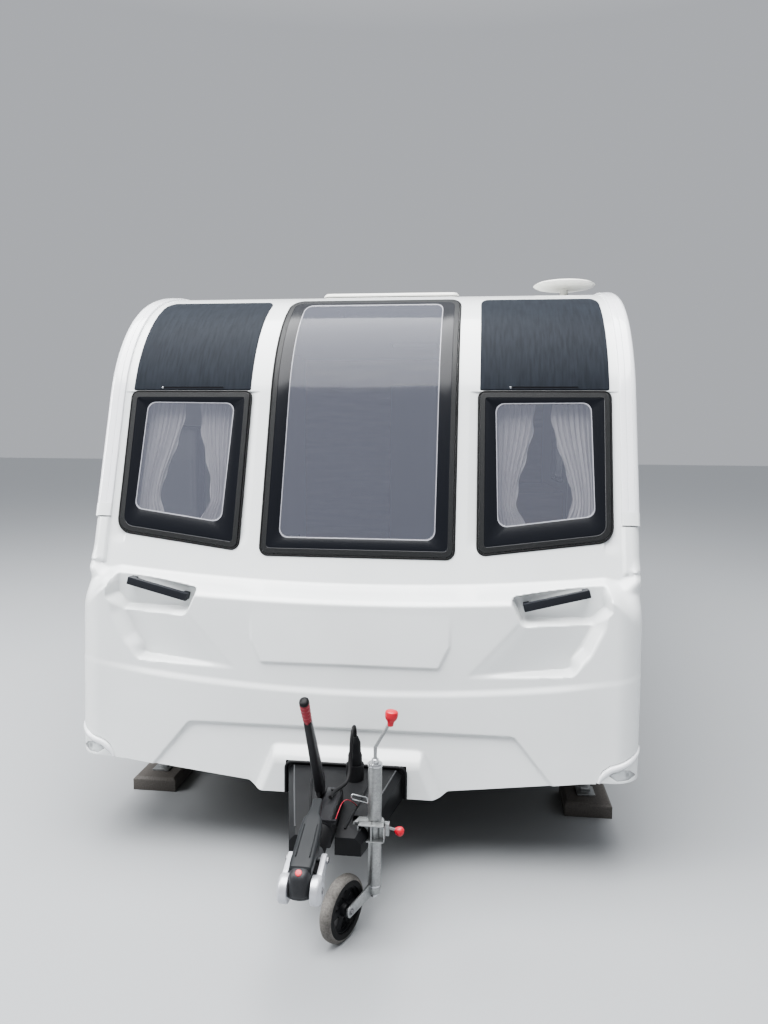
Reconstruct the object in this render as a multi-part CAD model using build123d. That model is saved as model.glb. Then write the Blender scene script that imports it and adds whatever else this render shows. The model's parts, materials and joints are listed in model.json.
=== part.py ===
# Single-axle travel caravan. X to the door side, Y to the rear, Z up, ground at Z 0, millimetres.
from build123d import *
import os
from math import atan2, cos, degrees, hypot, pi, radians, sin, tan

os.makedirs("parts", exist_ok=True)

# overall frame
overall_length = 6200.0
half_width = 1140.0
nose_y = -overall_length / 2
tail_y = overall_length / 2
drawbar_reach = 878.0
body_front_y = nose_y + drawbar_reach

# walls and seams
wall = 30.0
trim_proud = 12.0
wall_face = half_width - trim_proud
wall_inside = wall_face - wall
wall_foot_z = 430.0
panel_gap = 4.0
seat_gap = 0.3

# side profile of the body
front_lean = 17.2
front_foot_y = body_front_y + 154.0
front_foot_z = 1110.0
front_seam_z = 1351.0
brow_start_z = 1880.0
crown_z = 2465.0
brow_end = (body_front_y + 824.0, crown_z - 120.0)
crown_start = (body_front_y + 1145.0, crown_z - 41.0)
rear_radius = 250.0
rear_trim = 15.0
rear_face_y = tail_y - rear_trim

# lower front moulding
lower_foot_y = body_front_y
lower_foot_z = 250.0
lower_head_y = body_front_y + 37.0
lower_head_z = 1150.0
lower_corner_radius = 110.0
upper_corner_radius = 40.0
return_seam_y = body_front_y + 322.0
shoulder_edge_y = body_front_y + 32.0
shoulder_edge_z = 1044.0
shoulder_rise = 55.0
shoulder_run = 125.0
shoulder_bow_radius = 11000.0
crease_z = 681.0
crease_step = 10.0
crease_rise = 35.0
crease_bow_radius = 6700.0
recess_wall = 12.0
inner_ledge = 0.5

# floor and running gear
floor_z = 400.0
floor_thick = 45.0
floor_nose_y = body_front_y + 52.0
floor_nose_half = half_width - 200.0
floor_corner_y = body_front_y + 162.0
floor_top = floor_z + floor_thick
tyre_radius = 307.0
tyre_width = 185.0
rim_radius = 178.0
wheel_y = 560.0
wheel_x = half_width - 150.0
arch_radius = 350.0
wheel_box_x = half_width - 290.0
wheel_box_top = 690.0
box_wall = 12.0
rail_x = 650.0
rail_z = 260.0
rail_thick = 4.0
rail_flange = 50.0
rail_front_y = body_front_y + 1322.0
rail_rear_y = rear_face_y - 185.0
axle_radius = 45.0
axle_z = 330.0
axle_lead = 150.0
hub_radius = 32.0
hub_clearance = 0.05
drum_radius = 115.0

# drawbar and coupling
member_width = 50.0
member_height = 70.0
member_z = 282.0
member_top = member_z + member_height
member_front = (60.0, nose_y + 480.0)
member_rear = (rail_x - rail_flange, rail_front_y + 40.0)
housing_half = 31.0
housing_front_y = nose_y + 360.0
housing_rear_y = nose_y + 600.0
housing_top = 436.0
shaft_z = 395.0
shaft_radius = 24.0
gaiter_radius = 34.0
gaiter_rear_y = housing_front_y - 4.0
gaiter_front_y = nose_y + 220.0
ball_y = nose_y + 55.0
ball_z = 392.0
ball_radius = 25.0
ball_clearance = 0.1
head_radius = 46.0
head_foot_z = 372.0
cheek_thick = 15.0
cover_rear_y = body_front_y - 14.0
cover_front_y = nose_y + 410.0
cover_wall = 4.0

# jockey wheel
jockey_x = 158.0
jockey_y = nose_y + 507.0
jockey_tube_radius = 24.0
jockey_bore_radius = 21.0
jockey_fit = 0.08
jockey_tube_foot = 142.0
jockey_tube_head = 578.0
jockey_wheel_radius = 110.0
jockey_wheel_width = 46.0
jockey_trail = 138.0
jockey_offset = 42.0
jockey_turn = -25.0
jockey_travel = 200.0

# corner steadies
steady_x = half_width - 120.0
steady_pivot_z = 352.0
steady_length = 330.0
steady_pad_top = 65.0
steady_foot_thick = 8.0

# doors: wall side, hinge edge, lowest and highest y and z
door_y0 = -470.0
door_y1 = 150.0
door_z0 = floor_top + 15.0
door_z1 = 2200.0
hinge_axis_out = 7.0
hinge_radius = 5.0
hinge_pin_radius = 2.5


def save(shape, name):
    export_step(shape, "parts/" + name + ".step")
    print(name, len(shape.solids()), round(shape.volume / 1000.0), "cm3")


def block(x0, x1, y0, y1, z0, z1):
    return Pos((x0 + x1) / 2, (y0 + y1) / 2, (z0 + z1) / 2) * Box(abs(x1 - x0), abs(y1 - y0), abs(z1 - z0))


def rod(start, end, radius):
    start = Vector(*start)
    along = Vector(*end) - start
    return Solid.make_cylinder(radius, along.length, Plane(origin=start, z_dir=along))


def mirrored(shape):
    return mirror(shape, about=Plane.YZ)


def fused(shapes):
    whole = shapes[0]
    for shape in shapes[1:]:
        whole = whole + shape
    return whole


def group(shapes):
    return Compound(children=[solid for shape in shapes for solid in shape.solids()])


def prism_x(points, x0, x1):
    """points are (y, z)"""
    wire = Wire.make_polygon([Vector(x0, y, z) for y, z in points])
    return Solid.extrude(Face(wire), Vector(x1 - x0, 0, 0))


def prism_y(points, y0, y1, radius=0.0):
    """points are (x, z); radius rounds every corner"""
    face = Face(Wire.make_polygon([Vector(x, y0, z) for x, z in points]))
    if radius > 0:
        face = face.fillet_2d(radius, face.vertices())
    return Solid.extrude(face, Vector(0, y1 - y0, 0))


def prism_z(points, z0, z1):
    """points are (x, y)"""
    wire = Wire.make_polygon([Vector(x, y, z0) for x, y in points])
    return Solid.extrude(Face(wire), Vector(0, 0, z1 - z0))


# body side profile

def profile_nodes():
    """y, z and direction in degrees of each point where the profile changes form"""
    up = 90.0 - front_lean
    slope = tan(radians(front_lean))
    nodes = [(front_foot_y, front_foot_z, up)]
    for z in (front_seam_z, brow_start_z):
        nodes.append((front_foot_y + (z - front_foot_z) * slope, z, up))
    for y, z in (brow_end, crown_start):
        y0, z0, turn = nodes[-1]
        nodes.append((y, z, 2 * degrees(atan2(z - z0, y - y0)) - turn))
    y, z, turn = nodes[-1]
    radius = (crown_z - z) / (1 - cos(radians(turn)))
    nodes.append((y + radius * sin(radians(turn)), crown_z, 0.0))
    nodes.append((rear_face_y - rear_radius, crown_z, 0.0))
    nodes.append((rear_face_y, crown_z - rear_radius, -90.0))
    nodes.append((rear_face_y, wall_foot_z, -90.0))
    return nodes


foot_node, seam_node, brow_node, brow_top_node, crown_node = range(5)
level_node, roof_end_node, rear_node, rear_foot_node = range(5, 9)
profile = profile_nodes()


def profile_points(out):
    return [(y - out * sin(radians(a)), z + out * cos(radians(a)), a) for y, z, a in profile]


def profile_edges(out, first, last, x):
    points = profile_points(out)[first:last + 1]
    edges = []
    for (y0, z0, a0), (y1, z1, a1) in zip(points, points[1:]):
        start = Vector(x, y0, z0)
        end = Vector(x, y1, z1)
        if abs(a0 - a1) < 1e-6:
            edges.append(Edge.make_line(start, end))
        else:
            way = Vector(0, cos(radians(a0)), sin(radians(a0)))
            edges.append(Edge.make_tangent_arc(start, way, end))
    return edges


def band(inner, outer, first, last, x0, x1):
    """a layer between two offsets of the profile"""
    low = profile_edges(inner, first, last, x0)
    high = profile_edges(outer, first, last, x0)
    ends = [Edge.make_line(low[0] @ 0, high[0] @ 0), Edge.make_line(low[-1] @ 1, high[-1] @ 1)]
    return Solid.extrude(Face(Wire(low + high + ends)), Vector(x1 - x0, 0, 0))


# windows, front view: x and z of the corners on the door side

pane_side = half_width - 108.0
pillar_width = 98.0
centre_pane_half = half_width - 740.0
pane_inner = centre_pane_half + pillar_width
border_width = 74.0
centre_glass_half = centre_pane_half - border_width
side_pane_outline = [(pane_inner, 1890), (pane_side, 1890), (pane_side + 30, 1300), (pane_inner + 4, 1229)]
side_glass_outline = [(pane_inner + 65, 1843), (pane_side - 75, 1847), (pane_side - 66, 1386),
                      (pane_inner + 79, 1333)]
centre_pane_outline = [(-centre_pane_half, 1212), (centre_pane_half, 1212), (centre_pane_half, 2352),
                       (-centre_pane_half, 2352)]
centre_glass_outline = [(-centre_glass_half, 1278), (centre_glass_half, 1278), (centre_glass_half, 2318),
                        (-centre_glass_half, 2318)]
infill_outline = [(pane_inner, 1901), (pane_side, 1901), (pane_side, 2352), (pane_inner, 2352)]
infill_slot = [(pane_inner + 127, 1907), (pane_side - 129, 1907), (pane_side - 129, 1913),
               (pane_inner + 127, 1913)]
pane_corner = 18.0
glass_corner = 34.0
seal_width = 10.0
pane_from = 2.0
pane_to = 8.0
border_to = 1.7
view_depth = (body_front_y - 178.0, body_front_y + 922.0)


def front_prism(outline, radius, grow=0.0):
    face = Face(Wire.make_polygon([Vector(x, view_depth[0], z) for x, z in outline]))
    face = face.fillet_2d(radius, face.vertices())
    if grow:
        face = offset(face, grow).faces()[0]
    if face.normal_at().Y < 0:
        face = -face
    return Solid.extrude(face, Vector(0, view_depth[1] - view_depth[0], 0))


def front_layer(inner, outer):
    return band(inner, outer, foot_node, crown_node, -half_width, half_width)


front_panes = [
    (centre_pane_outline, centre_glass_outline, False),
    (side_pane_outline, side_glass_outline, True),
]


def front_window_pieces():
    """panes, black borders behind their edges, and rubber seals round them"""
    panes, borders, seals = [], [], []
    for pane_line, glass_line, paired in front_panes:
        outer = front_prism(pane_line, pane_corner)
        glass = front_prism(glass_line, glass_corner)
        ring = front_prism(pane_line, pane_corner, seal_width) - front_prism(pane_line, pane_corner, seat_gap)
        pane = front_layer(pane_from, pane_to) & outer
        border = front_layer(0, border_to) & (outer - glass)
        seal = front_layer(0, pane_to + 2) & ring
        for shape, bag in ((pane, panes), (border, borders), (seal, seals)):
            bag.append(shape)
            if paired:
                bag.append(mirrored(shape))
    return panes, borders, seals


def glass_holes():
    centre = front_prism(centre_glass_outline, glass_corner)
    side = front_prism(side_glass_outline, glass_corner)
    return [centre, side, mirrored(side)]


# lower front moulding

def bowed_cutter(edge_y, edge_z, run, rise, bow_radius, reach):
    """the space above a surface that climbs to the rear and, by an arc, towards both sides"""
    span = half_width + 60.0
    lift = bow_radius - (bow_radius ** 2 - span ** 2) ** 0.5
    sweep = Vector(0, run, rise).normalized()
    start = Vector(0, edge_y, edge_z) - sweep * reach
    left = start + Vector(-span, 0, lift)
    right = start + Vector(span, 0, lift)
    top = Vector(0, 0, 1200.0)
    edges = [
        Edge.make_three_point_arc(left, start, right),
        Edge.make_line(right, right + top),
        Edge.make_line(right + top, left + top),
        Edge.make_line(left + top, left),
    ]
    return Solid.extrude(Face(Wire(edges)), sweep * (2 * reach))


def front_block(points, inset, radius):
    """a full-width block with its two front corners rounded in plan"""
    shape = prism_x(points, -(half_width - inset), half_width - inset)
    upright = [e for e in shape.edges() if abs(e.tangent_at(0.5).Z) > 0.8]
    front = [e for e in upright if e.center().Y < return_seam_y - 60]
    return shape.fillet(radius, front)


def lower_face_y(z, inset):
    """y of the moulding's lower face at a height"""
    slope = (lower_head_y - lower_foot_y) / (lower_head_z - lower_foot_z)
    return lower_foot_y + (z - lower_foot_z) * slope + inset


def lower_main(inset, back, foot, head):
    """the moulding's lower part as a solid block, without the shoulder"""
    points = [(lower_face_y(z, inset), z) for z in (foot, head)] + [(back, head), (back, foot)]
    return front_block(points, max(inset, 0.0), lower_corner_radius - inset)


def lower_blocks(inset, back, foot, ledge=0.0):
    """the part below the shoulder and the part behind it, a ledge narrower; inset moves every face in"""
    shoulder = bowed_cutter(shoulder_edge_y + inset, shoulder_edge_z - inset, shoulder_run, shoulder_rise,
                            shoulder_bow_radius, 420.0)
    main = lower_main(inset, back, foot, lower_head_z) - shoulder
    slope = tan(radians(front_lean))
    inset = inset + ledge
    start = front_foot_y + inset / cos(radians(front_lean))
    low = lower_head_z - 200.0
    points = [(start + (z - front_foot_z) * slope, z) for z in (low, front_seam_z)]
    points += [(back + ledge, front_seam_z), (back + ledge, low)]
    upper = front_block(points, inset, upper_corner_radius - inset)
    return main, upper


def crease_slab(back):
    """the part below the crease, which stands a step proud"""
    head = crease_z + 3 * crease_rise
    points = [(lower_face_y(z, -crease_step), z) for z in (lower_foot_z, head)]
    points += [(back, head), (back, lower_foot_z)]
    slab = front_block(points, 0.0, lower_corner_radius)
    ledge = bowed_cutter(lower_face_y(crease_z, -crease_step), crease_z, crease_step, crease_rise,
                         crease_bow_radius, 300.0)
    return slab - ledge


# handle recess, front view on the door side: x and z
def from_side(rows):
    """front view points given by their distance in from the side"""
    return [(half_width - x, z) for x, z in rows]


pocket_outline = from_side([(518, 1082), (136, 1150), (130, 1040), (190, 985), (468, 975)])
wedge_outline = from_side([(468, 985), (190, 995), (132, 1060), (272, 791), (670, 769)])
pocket_floor_y = body_front_y + 124.0
wedge_line = from_side([(670, 769), (472, 1000)])
wedge_corner = (half_width - 272, 791)
wedge_corner_depth = 85.0


def handle_recess(grow):
    def grown(outline):
        face = Face(Wire.make_polygon([Vector(x, view_depth[0], z) for x, z in outline]))
        if grow:
            face = offset(face, grow, kind=Kind.INTERSECTION).faces()[0]
        if face.normal_at().Y < 0:
            face = -face
        return face

    surface_y = lower_foot_y - crease_step
    pocket = Solid.extrude(grown(pocket_outline), Vector(0, pocket_floor_y + grow - view_depth[0], 0))
    wedge = Solid.extrude(grown(wedge_outline), Vector(0, 600, 0))
    (xa, za), (xb, zb) = wedge_line
    xc, zc = wedge_corner
    a = Vector(xa, surface_y + grow, za)
    b = Vector(xb, surface_y + 30.0 + grow, zb)
    c = Vector(xc, surface_y + wedge_corner_depth + grow, zc)
    normal = (b - a).cross(c - a)
    if normal.Y > 0:
        normal = normal * -1
    wedge = split(wedge, bisect_by=Plane(origin=a, z_dir=normal), keep=Keep.TOP)
    return pocket + wedge


# lower edge of the moulding, front view: x and z from the middle outwards
skirt_line = [(0, 296), (372, 296), (398, 320)] + from_side([(232, 378), (174, 381), (-60, 390)])
lamp_line = from_side([(174, 382), (154, 432), (125, 454), (76, 469), (28, 490), (-60, 530)])
lamp_foot_z = 386.0
lamp_gap = 2.0
lamp_rear_y = body_front_y + 182.0
hood_outline = [(-372, 296), (-300, 474), (300, 474), (372, 296)]
hood_proud = 42.0
mouth_half = 239.0
mouth_top = 426.0
step_foot_half, step_head_half = half_width - 308.0, half_width - 490.0
step_foot_z, step_head_z = 330.0, 551.0
step_foot_depth, step_head_depth = 6.0, 12.0
step_outline = [(-step_foot_half, step_foot_z), (-step_head_half, step_head_z),
                (step_head_half, step_head_z), (step_foot_half, step_foot_z)]
plate_outline = [(-357, 795), (-402, 890), (-402, 1010), (402, 1010), (402, 890), (357, 795)]
plate_proud = 9.0


def step_recess():
    """what is cut away below the step: a floor that leans with the face, deepest under the ledge"""
    rows = ((step_foot_z, step_foot_depth), (step_head_z, step_head_depth))
    section = [(lower_face_y(z, -crease_step) + depth, z) for z, depth in rows]
    section += [(view_depth[0], z) for z, _ in reversed(rows)]
    cut = prism_x(section, -half_width, half_width)
    return cut & prism_y(step_outline, view_depth[0], lower_foot_y + wall)


def front_lower_panel():
    main, upper = lower_blocks(0.0, return_seam_y, lower_foot_z)
    form = main + crease_slab(return_seam_y) + upper
    form = form - step_recess()
    hood_face_y = lower_foot_y - hood_proud
    hood = prism_y(hood_outline, hood_face_y, lower_foot_y + 60)
    front_edges = [e for e in hood.edges() if abs(e.center().Y - hood_face_y) < 1 and e.center().Z > 300]
    form = form + hood.fillet(18.0, front_edges)
    z_low, z_high = plate_outline[0][1], plate_outline[2][1]
    y_low, y_high = lower_face_y(z_low, 0), lower_face_y(z_high, 0)
    plate = prism_y(plate_outline, y_low - 60, y_low + 20)
    leaf = prism_x([(y_low - plate_proud, z_low - 1), (y_high, z_high + 1), (y_high + 30, z_high + 1),
                    (y_low + 30, z_low - 1)], -600, 600)
    form = form + (plate & leaf)
    near_recess = handle_recess(0.0)
    near_back = handle_recess(recess_wall)
    form = form - near_recess - mirrored(near_recess)
    for space in lower_blocks(wall, return_seam_y + 40, lower_foot_z - 60.0, inner_ledge):
        form = form - (space - near_back - mirrored(near_back))
    low = [(-x, z) for x, z in reversed(skirt_line[1:])] + skirt_line
    below = [(low[0][0], 0), (low[-1][0], 0)]
    form = form - prism_y(low + [below[1], below[0]], view_depth[0] - 100, return_seam_y + 200)
    mouth = block(-mouth_half, mouth_half, view_depth[0] - 100, lower_foot_y + 72, 200, mouth_top)
    form = form - mouth
    corner_outline = [(lamp_line[0][0], 300)] + lamp_line + [(lamp_line[-1][0], 300)]
    corner = prism_y(corner_outline, view_depth[0] - 100, lamp_rear_y + lamp_gap)
    form = form - corner - mirrored(corner)
    for hole in glass_holes():
        form = form - hole
    return form


# body panels

trim_inner_x = half_width - 70.0
trim_height = 10.0
trim_flange = 45.0
trim_round = 8.0

side_windows = [
    # side, y0, y1, z0, z1
    (1, return_seam_y + 110, door_y0 - 290, 1180, 1760),
    (1, door_y1 + 180, door_y1 + 980, 1400, 1800),
    (1, rear_face_y - 705, rear_face_y - 365, 1560, 1860),
    (-1, return_seam_y + 110, door_y0 - 290, 1180, 1760),
    (-1, wheel_y - 480, wheel_y + 420, 1300, 1760),
]
window_lap = 34.0
window_corner = 55.0
window_rim = 8.0

locker_doors = [
    # name, y0, y1, z0, z1, hinge edge, bay depth
    ("gas_locker_door", wheel_y - 1290, wheel_y - 640, 470, 1040, "front", 420),
    ("battery_lid", wheel_y + 500, wheel_y + 860, 480, 790, "top", 260),
    ("cassette_door", rear_face_y - 785, rear_face_y - 385, 480, 860, "front", 430),
]


def wall_window(y0, y1, z0, z1, x0, x1, radius):
    face = Face(Wire.make_polygon([Vector(x0, y, z) for y, z in ((y0, z0), (y1, z0), (y1, z1), (y0, z1))]))
    face = face.fillet_2d(radius, face.vertices())
    return Solid.extrude(face, Vector(x1 - x0, 0, 0))


def wall_plate(side):
    """side is 1 for the door side"""
    x0, x1 = wall_inside, wall_face
    edges = profile_edges(0, seam_node, rear_foot_node, x0)
    corners = [edges[-1] @ 1, Vector(x0, return_seam_y, wall_foot_z), Vector(x0, return_seam_y, front_seam_z),
               edges[0] @ 0]
    for a, b in zip(corners, corners[1:]):
        edges.append(Edge.make_line(a, b))
    plate = Solid.extrude(Face(Wire(edges)), Vector(x1 - x0, 0, 0))
    plate = plate - rod((x0 - 5, wheel_y, tyre_radius), (x1 + 5, wheel_y, tyre_radius), arch_radius)
    for row_side, y0, y1, z0, z1 in side_windows:
        if row_side == side:
            plate = plate - wall_window(y0, y1, z0, z1, x0 - 5, x1 + 5, window_corner)
    if side > 0:
        plate = plate - block(x0 - 5, x1 + 5, door_y0, door_y1, door_z0, door_z1)
    else:
        for _, y0, y1, z0, z1, _, _ in locker_doors:
            plate = plate - block(x0 - 5, x1 + 5, y0, y1, z0, z1)
        plate = mirrored(plate)
    return plate


def side_window_pieces():
    """acrylic panes that lap over the wall, each with a black border and a liner through the wall"""
    panes, frames = [], []
    face, rim = wall_face, window_rim

    def layer(row, grow, x0, x1, radius):
        _, y0, y1, z0, z1 = row
        return wall_window(y0 - grow, y1 + grow, z0 - grow, z1 + grow, x0, x1, radius)

    for row in side_windows:
        side = row[0]
        pane = layer(row, window_lap, face + pane_from, face + pane_to, window_corner + window_lap / 2)
        ring = layer(row, window_lap, face, face + border_to, window_corner + window_lap / 2)
        ring = ring - layer(row, -rim, face - 1, face + pane_from, window_corner - rim)
        liner = layer(row, -seat_gap, face - wall - 6, face, window_corner - seat_gap)
        liner = liner - layer(row, -rim, face - wall - 8, face + pane_from, window_corner - rim)
        frame = ring + liner
        panes.append(pane if side > 0 else mirrored(pane))
        frames.append(frame if side > 0 else mirrored(frame))
    return panes, frames


def front_upper_panel():
    panel = band(-wall, 0, foot_node, crown_node, -wall_inside, wall_inside)
    panel = panel - block(-half_width, half_width, view_depth[0], view_depth[1], 0, front_seam_z)
    for hole in glass_holes():
        panel = panel - hole
    return panel


rooflights = [
    # x half, y0, y1, height above the roof
    (380, crown_start[0] + 287, crown_start[0] + 747, 42),
    (240, wheel_y + 200, wheel_y + 600, 60),
    (180, rear_face_y - 665, rear_face_y - 365, 50),
]
rooflight_rim = 60.0


def roof_panel():
    panel = band(-wall, 0, crown_node, roof_end_node, -wall_inside, wall_inside)
    for x_half, y0, y1, _ in rooflights:
        rim = rooflight_rim
        panel = panel - block(-x_half + rim, x_half - rim, y0 + rim, y1 - rim, crown_z - 200, crown_z + 100)
    return panel


def rooflight_pieces():
    """raised hollow frames, each closed by a thin domed lid"""
    pieces = []
    for x_half, y0, y1, height in rooflights:
        rim = rooflight_rim
        outer = block(-x_half, x_half, y0, y1, crown_z - 80, crown_z + height)
        outer = fillet(outer.edges().filter_by(Axis.Z), 40)
        outer = chamfer(outer.faces().sort_by(Axis.Z)[-1].edges(), 12)
        core = block(-x_half + rim, x_half - rim, y0 + rim, y1 - rim, crown_z - 100, crown_z + height - 8)
        roof = band(-900, 0, crown_node, roof_end_node, -half_width, half_width)
        pieces.append((outer - core) - roof)
    return pieces


bumper_foot = 350.0
bumper_top = 540.0


def rear_panel():
    panel = band(-wall, 0, roof_end_node, rear_foot_node, -wall_inside, wall_inside)
    bumper = block(-half_width, half_width, rear_face_y, tail_y, bumper_foot, bumper_top)
    bumper = chamfer(bumper.faces().sort_by(Axis.Y)[-1].edges(), 10)
    lip = block(-wall_inside, wall_inside, rear_face_y - wall, rear_face_y, bumper_foot, wall_foot_z)
    return panel + bumper + lip


def awning_rails():
    """the corner trims that run up the front, over the roof edge and down the rear"""
    over = band(0, trim_height, foot_node, rear_foot_node, trim_inner_x, half_width)
    flange = band(-trim_flange, 0, foot_node, rear_foot_node, wall_face, half_width)
    trim = over + flange
    crest = [e @ 0.5 for e in profile_edges(trim_height, foot_node, rear_foot_node, half_width)]
    rim = [e for e in trim.edges() if min((e @ 0.5 - p).length for p in crest) < 1.0]
    trim = trim.solids()[0].fillet(trim_round, rim)
    trim = trim - block(0, half_width + 50, view_depth[0], view_depth[1], 0, front_seam_z)
    trim = trim - block(0, half_width + 50, rear_face_y - 500, tail_y + 50, 0, bumper_top + panel_gap)
    return [trim, mirrored(trim)]


skirt_foot = 335.0
skirt_top = door_z0 - 4.0


def skirts():
    """lower side trims with the wheel arch cut out, and a lip round each arch"""
    arch = rod((wall_face - 5, wheel_y, tyre_radius), (half_width + 5, wheel_y, tyre_radius), arch_radius)
    lip_round = rod((wall_face, wheel_y, tyre_radius), (half_width, wheel_y, tyre_radius), arch_radius + 45)
    strip = block(wall_face, half_width, return_seam_y + 1, rear_face_y, skirt_foot, skirt_top)
    lip = lip_round & block(wall_face, half_width, wheel_y - 500, wheel_y + 500, floor_z, 900)
    skirt = (strip + lip) - arch
    return [skirt, mirrored(skirt)]


def floor_panel():
    """sandwich floor with the two hollow wheel boxes bonded on it"""
    plate = prism_z([(-wall_inside, rear_face_y - wall), (wall_inside, rear_face_y - wall),
                     (wall_inside, floor_corner_y), (floor_nose_half, floor_corner_y),
                     (floor_nose_half - 60, floor_nose_y), (60 - floor_nose_half, floor_nose_y),
                     (-floor_nose_half, floor_corner_y), (-wall_inside, floor_corner_y)], floor_z, floor_top)
    box_y0, box_y1 = wheel_y - arch_radius, wheel_y + arch_radius
    for sign in (1, -1):
        outer = block(sign * wheel_box_x, sign * wall_inside, box_y0, box_y1, floor_top - 1, wheel_box_top)
        room = block(sign * (wheel_box_x + box_wall), sign * (wall_inside + 1), box_y0 + box_wall,
                     box_y1 - box_wall, floor_z - 1, wheel_box_top - box_wall)
        plate = (plate + outer) - room
    return plate


# doors and lockers

def door_leaf(y0, y1, z0, z1):
    """a flush leaf on the door side"""
    gap = panel_gap
    leaf = block(wall_inside, wall_face, y0 + gap, y1 - gap, z0 + gap, z1 - gap)
    round_edges = leaf.edges().filter_by(Axis.X)
    leaf = leaf.fillet(14.0, round_edges)
    return leaf


def hinge_place(y0, y1, z0, z1, hinge_edge):
    """the hinge axis: its point and whether it stands upright"""
    x = wall_face + hinge_axis_out
    if hinge_edge == "top":
        return Vector(x, (y0 + y1) / 2, z1), False
    return Vector(x, y0, (z0 + z1) / 2), True


def hinge_parts(y0, y1, z0, z1, hinge_edge, spans):
    """fixed knuckles with the pin, and moving knuckles with their flaps, on the door side"""
    place, upright = hinge_place(y0, y1, z0, z1, hinge_edge)
    fixed, moving = [], []
    flap_thick = hinge_axis_out - hinge_radius + 2.0
    for shift in spans:
        for i, (start, end) in enumerate(((-30, -10.5), (-9.5, 9.5), (10.5, 30))):
            if upright:
                a = (place.X, place.Y, place.Z + shift + start)
                b = (place.X, place.Y, place.Z + shift + end)
                knuckle = rod(a, b, hinge_radius)
                low, high = a[2], b[2]
                away = (-22, 0) if i != 1 else (0, 26)
                flap = block(wall_face, place.X - 1, place.Y + away[0], place.Y + away[1], low, high)
                pin = rod((a[0], a[1], a[2] - 1), (b[0], b[1], b[2] + 1), hinge_pin_radius + hub_clearance)
            else:
                a = (place.X, place.Y + shift + start, place.Z)
                b = (place.X, place.Y + shift + end, place.Z)
                knuckle = rod(a, b, hinge_radius)
                low, high = a[1], b[1]
                away = (0, 22) if i != 1 else (-26, 0)
                flap = block(wall_face, place.X - 1, low, high, place.Z + away[0], place.Z + away[1])
                pin = rod((a[0], a[1] - 1, a[2]), (b[0], b[1] + 1, b[2]), hinge_pin_radius + hub_clearance)
            if i == 1:
                moving.append((knuckle + flap) - pin)
            else:
                fixed.append(knuckle + flap)
        way = Vector(0, 0, 1) if upright else Vector(0, 1, 0)
        fixed.append(rod(place + way * (shift - 20), place + way * (shift + 20), hinge_pin_radius))
    return fused(fixed), fused(moving)


door_hinge_spans = (-700.0, 0.0, 700.0)
door_window = (-370.0, 50.0, 1420.0, 1960.0)


def entrance_door():
    leaf = door_leaf(door_y0, door_y1, door_z0, door_z1)
    y0, y1, z0, z1 = door_window
    leaf = leaf - wall_window(y0, y1, z0, z1, wall_inside - 5, wall_face + 5, 40)
    fixed, moving = hinge_parts(door_y0, door_y1, door_z0, door_z1, "front", door_hinge_spans)
    latch = block(wall_face, wall_face + 6, door_y1 - 90, door_y1 - 30, 1180, 1300)
    latch = fillet(latch.edges().filter_by(Axis.X), 12)
    grip = block(wall_face + 5, wall_face + 10, door_y1 - 78, door_y1 - 58, 1195, 1285)
    pane = wall_window(y0 - 26, y1 + 26, z0 - 26, z1 + 26, wall_face + 0.3, wall_face + 6, 50)
    return leaf + moving + latch + grip, fixed, pane


def locker_leaf(row):
    _, y0, y1, z0, z1, hinge_edge, _ = row
    span = (y1 - y0) if hinge_edge == "top" else (z1 - z0)
    spans = (-span * 0.3, span * 0.3)
    leaf = door_leaf(y0, y1, z0, z1)
    fixed, moving = hinge_parts(y0, y1, z0, z1, hinge_edge, spans)
    if hinge_edge == "top":
        catch = rod((wall_face, (y0 + y1) / 2, z0 + 45), (wall_face + 6, (y0 + y1) / 2, z0 + 45), 16)
    else:
        catch = rod((wall_face, y1 - 45, (z0 + z1) / 2), (wall_face + 6, y1 - 45, (z0 + z1) / 2), 16)
    return mirrored(leaf + moving + catch), mirrored(fixed)


def locker_bays():
    """five-sided boxes behind the locker doors"""
    bays = []
    for _, y0, y1, z0, z1, _, depth in locker_doors:
        rim = 12.0
        outer = block(wall_inside - depth, wall_inside, y0 - rim, y1 + rim, z0 - rim, z1 + rim)
        room = block(wall_inside - depth + rim, wall_inside + 1, y0, y1, z0, z1)
        bays.append(mirrored(outer - room))
    return bays


# road wheels

tyre_bead_half = 66.0
tyre_bulge = 66.0
tyre_shoulder = 22.0
tyre_crown_drop = 6.0


def tyre_ring(width, bore, outer, bead_half, bulge, shoulder, drop):
    """a tyre on the X axis: bore, two sidewalls that bulge most at one height, shoulders and a flat crown"""
    half = width / 2
    right = [(bead_half, bore), (half, bore + bulge), (half - drop, outer - drop), (half - shoulder, outer)]
    line = right + [(-x, r) for x, r in reversed(right)]
    return Solid.revolve(Face(Wire.make_polygon([Vector(x, 0, r) for x, r in line])), 360, Axis.X)


def road_tyre():
    return tyre_ring(tyre_width, rim_radius, tyre_radius, tyre_bead_half, tyre_bulge, tyre_shoulder,
                     tyre_crown_drop)


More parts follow.
